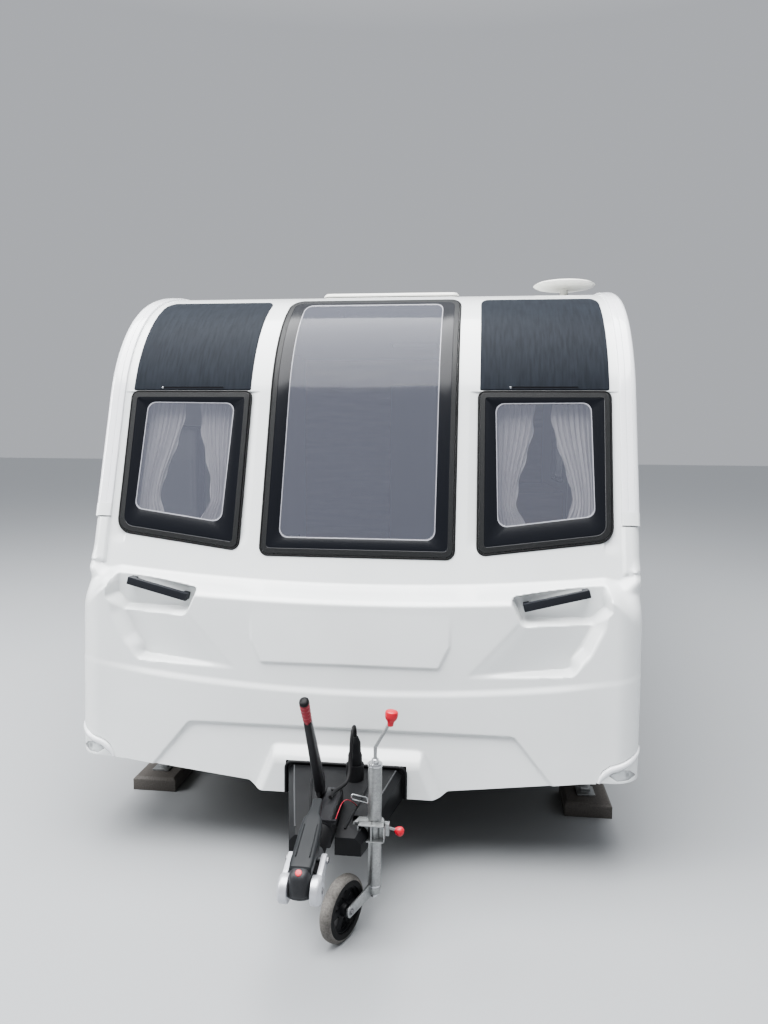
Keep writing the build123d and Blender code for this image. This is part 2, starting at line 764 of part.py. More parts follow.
def road_rim():
    """alloy wheel: barrel, dished face with ten openings, hub bore and centre cap"""
    r = rim_radius
    half = 70.0
    flange, lip, gap = 4.0, 8.0, seat_gap
    section = [(-half - flange, r + lip), (-half - flange, r - lip), (-half + 20, r - 16), (20, r - 22),
               (44, r - 22), (half - lip, r - 10), (half + flange, r - 6), (half + flange, r + lip),
               (half + gap, r + lip), (half + gap, r - gap), (-half - gap, r - gap), (-half - gap, r + lip)]
    ring = Solid.revolve(Face(Wire.make_polygon([Vector(x, 0, z) for x, z in section])), 360, Axis.X)
    disc = [(22, hub_radius + hub_clearance), (52, hub_radius + hub_clearance), (56, 60), (44, r - 40),
            (46, r - 21), (30, r - 21), (28, r - 40), (36, 70), (22, 70)]
    plate = Solid.revolve(Face(Wire.make_polygon([Vector(x, 0, z) for x, z in disc])), 360, Axis.X)
    window = prism_x([(-17, 78), (17, 78), (27, r - 30), (-27, r - 30)], 0, 80)
    for i in range(rim_windows):
        plate = plate - Rot(i * 360.0 / rim_windows, 0, 0) * window
    wheel = ring + plate
    for i in range(wheel_bolts):
        angle = radians(360.0 * i / wheel_bolts + 36)
        y, z = wheel_bolt_circle * sin(angle), wheel_bolt_circle * cos(angle)
        wheel = wheel - rod((40, y, z), (60, y, z), 9)
    return wheel


rim_windows = 10
wheel_bolts = 5
wheel_bolt_circle = 50.0


def at_wheel(shape, side):
    placed = Pos(wheel_x, wheel_y, tyre_radius) * shape
    return placed if side > 0 else mirrored(placed)


def axle():
    """torsion-bar tube with a trailing arm, brake drum and wheel spigot at each end"""
    y, reach = wheel_y - axle_lead, rail_x + 90
    tube = rod((-reach, y, axle_z), (reach, y, axle_z), axle_radius)
    arm_x0, arm_x1 = rail_x + 60, rail_x + 110
    arm = prism_x([(wheel_y - axle_lead - 55, axle_z - 50), (wheel_y - axle_lead - 55, axle_z + 50),
                   (wheel_y + 45, tyre_radius + 38), (wheel_y + 45, tyre_radius - 38)], arm_x0, arm_x1)
    arm = arm.fillet(30.0, arm.edges().filter_by(Axis.X))
    stub = rod((arm_x0 + 10, wheel_y, tyre_radius), (wheel_x - 75, wheel_y, tyre_radius), 28)
    drum = rod((wheel_x - 78, wheel_y, tyre_radius), (wheel_x + 21.7, wheel_y, tyre_radius), drum_radius)
    spigot = rod((wheel_x + 10, wheel_y, tyre_radius), (wheel_x + 40, wheel_y, tyre_radius), hub_radius)
    end = arm + stub + drum + spigot
    return tube + end + mirrored(end)


def chassis_rails():
    """channel rails with round lightening holes and a hole for the axle tube"""
    rails = []
    x0, x1 = rail_x - rail_flange, rail_x
    outer = block(x0, x1, rail_front_y, rail_rear_y, rail_z, floor_z)
    hollow = block(x0 - 1, x1 - rail_thick, rail_front_y - 1, rail_rear_y + 1, rail_z + rail_thick,
                   floor_z - rail_thick)
    rail = outer - hollow
    for y in rail_holes:
        rail = rail - rod((x1 - 20, y, (rail_z + floor_z) / 2), (x1 + 20, y, (rail_z + floor_z) / 2), 36)
    rail = rail - rod((x1 - 60, wheel_y - axle_lead, axle_z), (x1 + 20, wheel_y - axle_lead, axle_z),
                      axle_radius + seat_gap)
    rails.append(rail)
    rails.append(mirrored(rail))
    return rails


rail_hole_pitch = 180.0
rail_hole_starts = (rail_front_y + 200, wheel_y + 200)
holes_in_row = 6
axle_clearance = 150.0
rail_holes = [start + i * rail_hole_pitch for start in rail_hole_starts for i in range(holes_in_row)]
rail_holes = [y for y in rail_holes if abs(y - (wheel_y - axle_lead)) > axle_clearance]


def member_prism(half, z0, z1, reach):
    """the near member's plan outline between two heights, longer than the member by reach at each end"""
    (xa, ya), (xb, yb) = member_front, member_rear
    length = hypot(xb - xa, yb - ya)
    ux, uy = (xb - xa) / length, (yb - ya) / length
    nx, ny = uy * half, -ux * half
    xa, ya, xb, yb = xa - ux * reach, ya - uy * reach, xb + ux * reach, yb + uy * reach
    return prism_z([(xa - nx, ya - ny), (xa + nx, ya + ny), (xb + nx, yb + ny), (xb - nx, yb - ny)], z0, z1)


def drawbar_members():
    """two hollow box members from the overrun unit to joint plates on the rails' front ends"""
    half, skin = member_width / 2, rail_thick
    outer = member_prism(half, member_z, member_top, 0)
    member = outer - member_prism(half - skin, member_z + skin, member_top - skin, 5)
    x0, x1 = rail_x - rail_flange - 40, rail_x
    y0, y1 = rail_front_y - 70, rail_front_y
    seat = block(x0, x1, y0, y1, rail_z, floor_z)
    core = block(x0 - 5, x1 + 5, y0 + skin, y1 - 2 * skin, rail_z + 2 * skin, floor_z - 2 * skin)
    plate = (seat - core) - member_prism(half, member_z, member_top, 60)
    member = member + plate
    return [member, mirrored(member)]


cover_sections = [
    # y, half width, lowest z, highest z
    (cover_rear_y, 232.0, 296.0, 420.0),
    (cover_rear_y - 184.0, 190.0, 292.0, 396.0),
    (cover_front_y, 124.0, 290.0, 352.0),
]
cover_bevel = 22.0
cover_boss_y = (cover_rear_y - 94.0, cover_rear_y - 214.0)
cover_boss_radius = 14.0


def cover_hull(inset, past_ends):
    """outer form of the drawbar cover, or the space inside it"""
    wires = []
    for i, (y, half, z0, z1) in enumerate(cover_sections):
        reach = past_ends * (1 - i)
        half, z1 = half - inset, z1 - inset
        low = z0 - 10 * past_ends
        bevel = cover_bevel
        right = [(half - bevel, z1), (half, z1 - bevel), (half, low)]
        points = [(-x, z) for x, z in reversed(right)] + right
        wires.append(Wire.make_polygon([Vector(x, y + reach, z) for x, z in points]))
    return Solid.make_loft(wires, ruled=True)


def drawbar_cover():
    """moulded tray cover over the drawbar, open below, notched for the jockey tube and overrun unit"""
    outer = cover_hull(0.0, 0.0)
    cover = outer - cover_hull(cover_wall, 1.0)
    front = outer & block(-200, 200, cover_front_y, cover_front_y + cover_wall, 200, 500)
    cover = cover + front
    slope = (member_rear[0] - member_front[0]) / (member_rear[1] - member_front[1])
    for y in cover_boss_y:
        x = member_front[0] + (y - member_front[1]) * slope
        for sign in (1, -1):
            boss = rod((sign * x, y, member_top), (sign * x, y, 430), cover_boss_radius) & outer
            cover = cover + boss
    unit = housing_half + 3
    cover = cover - block(-unit, unit, cover_front_y - 10, housing_rear_y + 3, 250, 500)
    notch = jockey_tube_radius + clamp_wall + panel_gap
    cover = cover - rod((jockey_x, jockey_y, 200), (jockey_x, jockey_y, 500), notch)
    cover = cover - block(clamp_root_x - 4, jockey_x + 60, jockey_y - 24, jockey_y + 24, 280, 500)
    return cover + plug_holder() + cable_eye(breakaway_route, False)


def overrun_housing():
    """cast body of the overrun unit, bolted on the drawbar, with bellows in front"""
    body = block(-housing_half, housing_half, housing_front_y, housing_rear_y, member_top - 12, housing_top)
    body = body.fillet(10.0, body.edges().filter_by(Axis.Y))
    foot = block(-80, 80, housing_front_y + 100, housing_front_y + 180, member_top, member_top + 3.5)
    bolt_y = housing_rear_y - 20
    crown = rod((0, bolt_y, housing_top - 2), (0, bolt_y, housing_top + 6), 9)
    body = body + foot + crown
    tube = rod((0, housing_front_y + 1, shaft_z), (0, gaiter_rear_y, shaft_z), gaiter_radius)
    x, y, z = breakaway_route[-1]
    lug = block(housing_half - 8, x + 3, y - cable_eye_length, y - 3, z - cable_lug_drop, z + 1)
    return body + tube + lug + cable_eye(breakaway_route, True)


def gaiter():
    """rubber bellows round the drawtube"""
    ribs = 9
    pitch = (gaiter_rear_y - gaiter_front_y) / ribs
    points = [(gaiter_rear_y, shaft_radius + seat_gap)]
    for i in range(ribs):
        y = gaiter_rear_y - i * pitch
        points.append((y, gaiter_radius - 7))
        points.append((y - pitch / 2, gaiter_radius))
    points.append((gaiter_front_y, gaiter_radius - 7))
    points.append((gaiter_front_y, shaft_radius + seat_gap))
    face = Face(Wire.make_polygon([Vector(0, y, shaft_z + r) for y, r in points]))
    return Solid.revolve(face, 360, Axis((0, 0, shaft_z), (0, 1, 0)))


def coupling_head():
    """drawtube and cast coupling head with the ball socket open below"""
    tube = rod((0, gaiter_rear_y, shaft_z), (0, gaiter_front_y - 30, shaft_z), shaft_radius)
    neck_root = Plane(origin=(0, gaiter_front_y - seat_gap, shaft_z), z_dir=(0, -1, 0))
    neck = Solid.make_cone(neck_radii[0], neck_radii[1], neck_length, neck_root)
    dome = Pos(0, ball_y, ball_z) * Sphere(head_radius)
    skirt_part = rod((0, ball_y, head_foot_z), (0, ball_y, ball_z), head_radius)
    head = (dome + skirt_part + neck + tube)
    head = head - block(-200, 200, ball_y - 100, gaiter_front_y - 1, ball_z - 300, head_foot_z)
    lug = block(-12, 12, nose_y + 108, nose_y + 124, shaft_z + 20, handle_lug_z)
    head = head + lug
    bore = ball_radius + ball_clearance
    head = head - Pos(0, ball_y, ball_z) * Sphere(bore)
    head = head - rod((0, ball_y, head_foot_z - 10), (0, ball_y, ball_z), bore)
    pin = rod((-cheek_in - cheek_thick - 4, cheek_rear[0], cheek_rear[1]),
              (cheek_in + cheek_thick + 4, cheek_rear[0], cheek_rear[1]), cross_pin_radius)
    return head + pin


handle_lug_z = 445.5
neck_radii = (36.0, 40.0)
neck_length = 135.0
cheek_in = 47.0
cross_pin_radius = 8.0
cheek_front = (nose_y + 46.0, 382.0)
cheek_rear = (nose_y + 140.0, 425.0)
cheek_round = 38.0
cheek_tail_round = 22.0


def stabiliser_cheeks():
    """the two friction arms beside the head, carried on the cross pin"""
    (ya, za), (yb, zb) = cheek_front, cheek_rear
    way = degrees(atan2(zb - za, yb - ya))
    x0, x1 = cheek_in, cheek_in + cheek_thick
    front = rod((x0, ya, za), (x1, ya, za), cheek_round)
    rear = rod((x0, yb, zb), (x1, yb, zb), cheek_tail_round)
    length = hypot(yb - ya, zb - za)
    ny, nz = -(zb - za) / length, (yb - ya) / length
    web = prism_x([(ya + ny * cheek_round * 0.97, za + nz * cheek_round * 0.97),
                   (yb + ny * cheek_tail_round * 0.97, zb + nz * cheek_tail_round * 0.97),
                   (yb - ny * cheek_tail_round * 0.97, zb - nz * cheek_tail_round * 0.97),
                   (ya - ny * cheek_round * 0.97, za - nz * cheek_round * 0.97)], x0, x1)
    cap = rod((x1 - 1, ya, za), (x1 + 4, ya, za), 16)
    cheek = front + rear + web + cap
    cheek = cheek - rod((x0 - 1, yb, zb), (x1 + 1, yb, zb), cross_pin_radius + seat_gap)
    return [cheek, mirrored(cheek)]


def coupling_handle():
    """the lift handle that covers the head, from its nose up to the grip end"""
    def section(y, half, z0, z1):
        c = 7.0
        points = [(-half, z0), (-half, z1 - c), (-half + c, z1), (half - c, z1), (half, z1 - c), (half, z0)]
        return Wire.make_polygon([Vector(x, y, z) for x, z in points])

    rows = [
        # y, half width, lowest z, highest z
        (nose_y, 24, 412, 444),
        (nose_y + 6, 32, 420, 452),
        (nose_y + 20, 34, 440, 460),
        (nose_y + 125, 33, 447, 484),
        (nose_y + 210, 27, 474, 512),
        (nose_y + 300, 23, 512, 536),
    ]
    wires = [section(*row) for row in rows]
    return Solid.make_loft(wires, ruled=True)


# handbrake
brake_x = -43.0
brake_pivot = (nose_y + 560.0, 446.0)
brake_top = (nose_y + 285.0, 862.0)
brake_grip_share = 0.74


def handbrake_lever():
    """quadrant, pivot and channel lever"""
    (ya, za), (yb, zb) = brake_pivot, brake_top
    x0, x1 = brake_x - 11, brake_x + 11
    ym, zm = ya + (yb - ya) * brake_grip_share, za + (zb - za) * brake_grip_share
    length = hypot(yb - ya, zb - za)
    ny, nz = (zb - za) / length, -(yb - ya) / length
    lever = prism_x([(ya + ny * 26, za + nz * 26), (ym + ny * 11, zm + nz * 11),
                     (ym - ny * 11, zm - nz * 11), (ya - ny * 26, za - nz * 26)], x0, x1)
    root = rod((x0, ya, za), (x1, ya, za), 26)
    pin = rod((x0 - 4, ya, za - 12), (-housing_half, ya, za - 12), 8)
    quadrant = rod((x0 + 6, ya + 10, za - 10), (x1 - 6, ya + 10, za - 10), 46)
    quadrant = quadrant & block(x0, x1, ya - 60, ya + 80, member_top + 8.3, za + 60)
    return lever + root + pin + quadrant


def red_grips():
    """handbrake grip, coupling button, crank knob and clamp knob"""
    (ya, za), (yb, zb) = brake_pivot, brake_top
    ym, zm = ya + (yb - ya) * brake_grip_share, za + (zb - za) * brake_grip_share
    grip = rod((brake_x, ym, zm), (brake_x, yb, zb), 13)
    button = Pos(0, nose_y + 46, 466.0) * Cylinder(8, 16) - coupling_handle()
    way = (Vector(*crank_top) - Vector(*crank_bend)).normalized()
    knob = rod(crank_top, Vector(*crank_top) + way * 36, 15)
    ball = Pos(*clamp_knob) * Sphere(15) - rod(clamp_lever_root, clamp_knob, 5)
    return [grip, button, knob, ball]


# jockey wheel unit
crank_bend = (jockey_x, jockey_y, jockey_tube_head + 55)
crank_top = (jockey_x + 52, jockey_y, jockey_tube_head + 150)
clamp_z = (322.0, 372.0)
clamp_wall = 9.0
clamp_root_x = 84.0
clamp_knob = (jockey_x + 86, jockey_y, 338.0)
clamp_lever_root = (jockey_x + 44.0, jockey_y - 6.0, 352.0)


def jockey_outer():
    """clamp bracket, outer tube, crank and clamp lever"""
    def upright(low, high, radius):
        return rod((jockey_x, jockey_y, low), (jockey_x, jockey_y, high), radius)

    tube = upright(jockey_tube_foot, jockey_tube_head, jockey_tube_radius)
    tube = tube - upright(jockey_tube_foot - 1, jockey_tube_head - 12, jockey_bore_radius)
    z0, z1 = clamp_z
    clamp = upright(z0, z1, jockey_tube_radius + clamp_wall)
    arm = block(clamp_root_x, jockey_x - 10, jockey_y - 20, jockey_y + 20, z0, z1)
    slot = block(clamp_root_x + 12, jockey_x - 38, jockey_y - 30, jockey_y + 30, z0 + 8, z1 - 8)
    ears = block(jockey_x + 20, jockey_x + 52, jockey_y - 18, jockey_y + 6, z0 + 4, z1 - 4)
    hole = upright(z0 - 1, z1 + 1, jockey_tube_radius - 1)
    bracket = ((clamp + arm + ears) - slot) - hole
    bracket = bracket - member_prism(member_width / 2, member_z - 40, member_top + 40, 10)
    cap = upright(jockey_tube_head - 1, jockey_tube_head + 14, 12)
    crank = rod((jockey_x, jockey_y, jockey_tube_head), crank_bend, 6) + rod(crank_bend, crank_top, 6)
    crank = crank + Pos(*crank_bend) * Sphere(6)
    lever = rod(clamp_lever_root, clamp_knob, 5)
    return tube + bracket + cap + crank + lever


def jockey_inner():
    """inner tube that winds down out of the outer one, with the swivel pin at its foot"""
    r = jockey_bore_radius - jockey_fit
    top = jockey_tube_foot + jockey_travel + 140
    foot = jockey_tube_foot - 8
    tube = rod((jockey_x, jockey_y, foot), (jockey_x, jockey_y, top), r)
    pin = rod((jockey_x, jockey_y, foot - 30), (jockey_x, jockey_y, foot + 1), 9)
    nut = rod((jockey_x, jockey_y, foot - 36), (jockey_x, jockey_y, foot - 28), 14)
    return tube + pin + nut


def jockey_frame(shape):
    """from the unit's own frame, trail along -Y and axle along X, to its parked turn"""
    return Pos(jockey_x, jockey_y, 0) * Rot(0, 0, jockey_turn) * shape


jockey_arm_x = -(jockey_offset - jockey_wheel_width / 2 - 8)
jockey_arm_thick = 5.0


def jockey_fork():
    """swivel head and the flat arm down to the axle"""
    z1 = jockey_tube_foot - 9
    z0 = z1 - 21
    x0 = jockey_arm_x
    x1 = x0 + jockey_arm_thick
    head = rod((0, 0, z0), (0, 0, z1), 22) + block(x0, 2, -13, 13, z0, z1)
    hub_y, hub_z = -jockey_trail, jockey_wheel_radius
    top_z = z0 + 12
    length = hypot(hub_y, hub_z - top_z)
    ny, nz = -(hub_z - top_z) / length * 14, hub_y / length * 14
    outline = [(ny, top_z + nz), (hub_y + ny, hub_z + nz), (hub_y - ny, hub_z - nz), (-ny, top_z - nz)]
    arm = prism_x(outline, x0, x1)
    arm = arm & block(x0 - 1, x1 + 1, hub_y - 30, 30, z0 - 30, z1)
    eye = rod((x0, hub_y, hub_z), (x1, hub_y, hub_z), 14)
    axle_end = -jockey_offset - jockey_wheel_width / 2 - 4
    spindle = rod((x1 + 5, hub_y, hub_z), (axle_end, hub_y, hub_z), 7)
    cap = rod((axle_end, hub_y, hub_z), (axle_end - 4, hub_y, hub_z), 11)
    bore = rod((0, 0, z0 - 30), (0, 0, z1 + 1), 9 + hub_clearance)
    return jockey_frame((head + arm + eye + spindle + cap) - bore)


jockey_tyre_depth = 34.0


def jockey_tyre():
    """solid rubber tyre with straight walls and rounded shoulders"""
    half, r = jockey_wheel_width / 2, jockey_wheel_radius
    line = [(-half, r - jockey_tyre_depth), (-half, r - 9), (-half + 9, r), (half - 9, r), (half, r - 9),
            (half, r - jockey_tyre_depth)]
    ring = Solid.revolve(Face(Wire.make_polygon([Vector(x, 0, z) for x, z in line])), 360, Axis.X)
    return jockey_frame(Pos(-jockey_offset, -jockey_trail, r) * ring)


def jockey_hub():
    """moulded wheel centre with six windows"""
    w = jockey_wheel_width / 2
    r = jockey_wheel_radius - jockey_tyre_depth - 0.1
    points = [(-w, 7 + hub_clearance), (w, 7 + hub_clearance), (w, 20), (8, 24), (8, r - 8), (w - 6, r - 6),
              (w - 6, r), (-w + 6, r), (-w + 6, r - 6), (-8, r - 8), (-8, 24), (-w, 20)]
    hub = Solid.revolve(Face(Wire.make_polygon([Vector(x, 0, z) for x, z in points])), 360, Axis.X)
    window = prism_x([(-7, 32), (7, 32), (17, r - 14), (-17, r - 14)], -20, 20)
    for i in range(6):
        hub = hub - Rot(60 * i, 0, 0) * window
    return jockey_frame(Pos(-jockey_offset, -jockey_trail, jockey_wheel_radius) * hub)


# corner steadies: foot place from the pads, the leg leans outward to it
steadies = [
    # name, side, y of the foot, direction from pivot to foot
    ("front_near", 1, body_front_y + 622.0, -1),
    ("front_off", -1, body_front_y + 622.0, -1),
    ("rear_near", 1, rear_face_y - 305.0, 1),
    ("rear_off", -1, rear_face_y - 305.0, 1),
]


def steady_geometry(foot_y, way):
    drop = steady_pivot_z - (steady_pad_top + steady_foot_thick + 10)
    run = (steady_length ** 2 - drop ** 2) ** 0.5
    return foot_y - way * run, drop, run


def steady_leg(side, foot_y, way):
    """channel leg with a swivelling foot plate, resting on its pad"""
    pivot_y, drop, run = steady_geometry(foot_y, way)
    foot_z = steady_pivot_z - drop
    x0, x1 = side * steady_x - 22, side * steady_x + 22
    length = steady_length
    uy, uz = way * run / length, -drop / length
    ny, nz = -uz, uy
    half = 20.0
    ankle_half = 14.0
    def beside(reach_top, reach_foot):
        return [(pivot_y + ny * reach_top, steady_pivot_z + nz * reach_top),
                (foot_y + ny * reach_foot, foot_z + nz * reach_foot)]

    leg = prism_x(beside(half, ankle_half) + beside(-half, -ankle_half)[::-1], x0, x1)
    inner = prism_x([(pivot_y + ny * 60, steady_pivot_z + nz * 60), (foot_y + ny * 60, foot_z + nz * 60),
                     (foot_y - ny * 9, foot_z - nz * 9), (pivot_y - ny * 15, steady_pivot_z - nz * 15)],
                    x0 + 3, x1 - 3)
    knee = rod((x0, pivot_y, steady_pivot_z), (x1, pivot_y, steady_pivot_z), half)
    ankle = rod((x0, foot_y, foot_z), (x1, foot_y, foot_z), ankle_half)
    plate = block(x0 - 18, x1 + 18, foot_y - 45, foot_y + 45, steady_pad_top + seat_gap,
                  steady_pad_top + steady_foot_thick)
    leg = (leg - inner) + knee + ankle + plate
    leg = leg + block(x0, x1, foot_y - 12, foot_y + 12, steady_pad_top + 4, foot_z)
    leg = leg - rod((x0 - 1, pivot_y, steady_pivot_z), (x1 + 1, pivot_y, steady_pivot_z), 8 + hub_clearance)
    return leg


def steady_brackets():
    """a bracket under the floor for each leg, with its pivot pin and winding spindle"""
    brackets = []
    for _, side, foot_y, way in steadies:
        pivot_y, _, _ = steady_geometry(foot_y, way)
        x0, x1 = side * steady_x - 32, side * steady_x + 32
        top = block(x0, x1, pivot_y - 40, pivot_y + 40, floor_z - 6, floor_z)
        cheek = block(x0, x0 + 6, pivot_y - 28, pivot_y + 28, steady_pivot_z - 18, floor_z)
        other = block(x1 - 6, x1, pivot_y - 28, pivot_y + 28, steady_pivot_z - 18, floor_z)
        pin = rod((x0 - 4, pivot_y, steady_pivot_z), (x1 + 4, pivot_y, steady_pivot_z), 8)
        bracket = top + cheek + other + pin
        brackets.append(bracket)
    return brackets


pad_half_x, pad_half_y = 105.0, 120.0
pad_wall, pad_deck, pad_pitch, pad_cell_half = 8.0, 17.0, 66.0, 26.0


def steady_pads():
    """ribbed hollow plastic blocks under the legs"""
    pads = []
    for _, side, foot_y, _ in steadies:
        x, y = side * steady_x, foot_y
        pad = block(x - pad_half_x, x + pad_half_x, y - pad_half_y, y + pad_half_y, 0, steady_pad_top)
        pad = chamfer(pad.faces().sort_by(Axis.Z)[-1].edges(), 12)
        cell_y = pad_half_y - pad_wall
        for i in (-1, 0, 1):
            middle = x + i * pad_pitch
            pad = pad - block(middle - pad_cell_half, middle + pad_cell_half, y - cell_y, y + cell_y, -1,
                              steady_pad_top - pad_deck)
        pads.append(pad)
    return pads


# outside fittings

def front_infills():
    """dark panels over the side windows, each with a long slot"""
    panel = front_layer(0, 4) & front_prism(infill_outline, 6.0)
    slot = front_prism(infill_slot, 2.5)
    panel = panel - (front_layer(1.5, 20) & slot)
    return [panel, mirrored(panel)]


def tv_aerial():
    """saucer aerial on a short post"""
    x, y, z = half_width - 190.0, crown_start[0] + 317.0, crown_z + 70.0
    points = [(0, -20), (60, -20), (150, -8), (166, 0), (150, 9), (60, 20), (0, 22)]
    face = Face(Wire.make_polygon([Vector(x + r, y, z + h) for r, h in points]))
    saucer = Solid.revolve(face, 360, Axis((x, y, 0), (0, 0, 1)))
    post = rod((x, y, crown_z - 40), (x, y, z - 10), 22)
    base = rod((x, y, crown_z - 40), (x, y, crown_z + 12), 60)
    roof = band(-900, 0, crown_node, roof_end_node, -half_width, half_width)
    return (saucer + post + base) - roof


lens_outline = from_side([(130, 414), (110, 432), (80, 441), (45, 431), (16, 404), (52, 394), (94, 393)])
lens_corner = 5.0
lens_from, lens_to = -2.0, 10.0
lamp_proud, lamp_back = 6.0, 26.0


def corner_layer(outer, inner):
    """a layer that follows the moulding's face and its rounded corners"""
    solid = lower_main(outer, return_seam_y, lower_foot_z, lamp_line[-1][1] + 20)
    return solid - lower_main(inner, return_seam_y + 40, lower_foot_z - 60, lamp_line[-1][1] + 60)


def front_lamps():
    """clear corner lenses"""
    lens = corner_layer(lens_from, lens_to) & front_prism(lens_outline, lens_corner)
    return [lens, mirrored(lens)]


def front_lamp_housings():
    """white housings under the moulding's corners, each with a recess for its lens"""
    first, last = lamp_line[0], lamp_line[-1]
    outline = [(first[0] + lamp_gap, lamp_foot_z)] + [(x + lamp_gap, z - lamp_gap) for x, z in lamp_line[1:]]
    outline.append((last[0] + lamp_gap, lamp_foot_z))
    body = corner_layer(-lamp_proud, lamp_back) & prism_y(outline, view_depth[0], lamp_rear_y)
    seat = corner_layer(-lamp_proud - 10, lens_to + seat_gap)
    body = body - (seat & front_prism(lens_outline, lens_corner, seat_gap))
    return [body, mirrored(body)]


rear_lamp = (half_width - 450.0, half_width - 120.0, 575.0, 705.0)


def rear_lamps():
    x0, x1, z0, z1 = rear_lamp
    lamp = block(x0, x1, rear_face_y, tail_y, z0, z1)
    lamp = lamp.fillet(30.0, lamp.edges().filter_by(Axis.Y))
    lamp = lamp.fillet(5.0, lamp.faces().sort_by(Axis.Y)[-1].edges())
    high = block(-180, 180, rear_face_y, rear_face_y + 12, crown_z - 275.0, crown_z - 253.0)
    high = high.fillet(5.0, high.edges().filter_by(Axis.Y))
    return [lamp, mirrored(lamp), high]


handle_ends = ((half_width - 211.0, 1103.0), (half_width - 455.0, 1040.0))
handle_face_y = body_front_y + 82.0
handle_half, handle_foot = 13.0, 26.0


def grab_handles():
    """bars across the two front recesses"""
    (xa, za), (xb, zb) = handle_ends
    length = hypot(xb - xa, zb - za)
    nx, nz = -(zb - za) / length, (xb - xa) / length
    half = handle_half
    ux, uz = (xb - xa) / length, (zb - za) / length

    def bar(half, y0, y1, along0, along1):
        return prism_y([(xa + ux * along0 + nx * half, za + uz * along0 + nz * half),
                        (xa + ux * along1 + nx * half, za + uz * along1 + nz * half),
                        (xa + ux * along1 - nx * half, za + uz * along1 - nz * half),
                        (xa + ux * along0 - nx * half, za + uz * along0 - nz * half)], y0, y1, 5.0)

    grip = bar(half, handle_face_y - 10, handle_face_y + 12, 0, length)
    handle = grip
    for along in (0, length - handle_foot):
        handle = handle + bar(half, handle_face_y + 10, pocket_floor_y, along, along + handle_foot)
    return [handle, mirrored(handle)]


vent_z = (900.0, 1250.0)
vent_y0, vent_y1 = 1250.0, 1640.0
vent_height, vent_proud, vent_rim = 170.0, 8.0, 25.0
vent_slots, vent_slot_first, vent_slot_pitch, vent_slot = 5, 22.0, 27.0, 12.0


def side_vents():
    """fridge vents on the door side"""
    vents = []
    for z in vent_z:
        frame = block(wall_face, wall_face + vent_proud, vent_y0, vent_y1, z, z + vent_height)
        frame = frame.fillet(vent_proud, frame.edges().filter_by(Axis.X))
        for i in range(vent_slots):
            low = z + vent_slot_first + i * vent_slot_pitch
            frame = frame - block(wall_face + vent_proud / 2, wall_face + vent_proud + 1, vent_y0 + vent_rim,
                                  vent_y1 - vent_rim, low, low + vent_slot)
        vents.append(frame)
    return vents


# cabin inside

seats = [
    # side, y0, y1
    (1, return_seam_y + 60.0, door_y0 - 70.0),
    (-1, return_seam_y + 60.0, wheel_y - 1350.0),
]
seat_inner_x = 480.0
inner_door_half = 290.0
bulkhead_thick = 25.0
chest_half, chest_top = 420.0, 1050.0
kitchen_x0, kitchen_top = 560.0, 1340.0
curtain_foot, curtain_head = 1340.0, 1861.7
rail_head = 1880.0
seat_base_top = 800.0
cushion_thick = 140.0
back_top = 1160.0
lining_gap = 2.0


def cabin_furniture():
    pieces = []
    for side, y0, y1 in seats:
        base = block(side * seat_inner_x, side * (wall_inside - lining_gap), y0, y1, floor_top, seat_base_top)
        pieces.append(base)
    chest_y0, chest_y1 = body_front_y + 212, body_front_y + 362
    chest = block(-chest_half, chest_half, chest_y0, chest_y1, floor_top, chest_top)
    pieces.append(fillet(chest.edges().filter_by(Axis.Z), 20))
    side_x = wall_inside - lining_gap
    kitchen = block(kitchen_x0, side_x, door_y1 + 90, door_y1 + 1450, floor_top, kitchen_top)
    kitchen = kitchen - block(wheel_box_x - 4, wall_inside + 5, 0, wheel_y + arch_radius + 4, floor_top - 5,
                              wheel_box_top + 4)
    pieces.append(kitchen)
    y0, y1 = rear_face_y - 1085, rear_face_y - 1085 + bulkhead_thick
    bulkhead = block(-side_x, side_x, y0, y1, floor_top, crown_z - wall)
    doorway = block(-inner_door_half, inner_door_half, y0 - 10, y1 + 10, floor_top - 1, door_z1)
    pieces.append(bulkhead - doorway)
    for sign in (1, -1):
        x0, x1, z0, z1 = pane_inner + 50, pane_side - 47, curtain_head + seat_gap, rail_head
        rail = front_layer(-wall - 32, -wall) & front_prism([(x0, z0), (x1, z0), (x1, z1), (x0, z1)], 3.0)
        pieces.append(rail if sign > 0 else mirrored(rail))
    return pieces


def seat_cushions():
    pieces = []
    for side, y0, y1 in seats:
        z0 = seat_base_top + seat_gap
        seat = block(side * seat_inner_x, side * (wall_inside - 152), y0 + 4, y1 - 4, z0, z0 + cushion_thick)
        pieces.append(seat.fillet(25.0, seat.edges().filter_by(Axis.Y)))
        back = block(side * (wall_inside - 150), side * (wall_inside - 10), y0 + 4, y1 - 4, z0, back_top)
        pieces.append(back.fillet(25.0, back.edges().filter_by(Axis.Y)))
    return pieces


curtain_spans = [(pane_inner + 76, pane_inner + 192), (pane_side - 192, pane_side - 82)]


def curtains():
    pieces = []
    for x0, x1 in curtain_spans:
        cloth = front_layer(-wall - 26, -wall - 6) & front_prism(
            [(x0, curtain_foot), (x1, curtain_foot), (x1, curtain_head), (x0, curtain_head)], 3.0)
        pieces.append(cloth)
        pieces.append(mirrored(cloth))
    return pieces


# plug, lead and breakaway cable

plug_x, plug_y = 50.0, cover_rear_y - 109.0
plug_seat_z = 437.0


def plug_holder():
    """parking socket on the drawbar cover"""
    cup = rod((plug_x, plug_y, plug_seat_z - 60), (plug_x, plug_y, plug_seat_z + 26), 34)
    cup = cup - rod((plug_x, plug_y, plug_seat_z + 4), (plug_x, plug_y, plug_seat_z + 30), 27.3)
    return cup - cover_hull(cover_wall, 1.0)


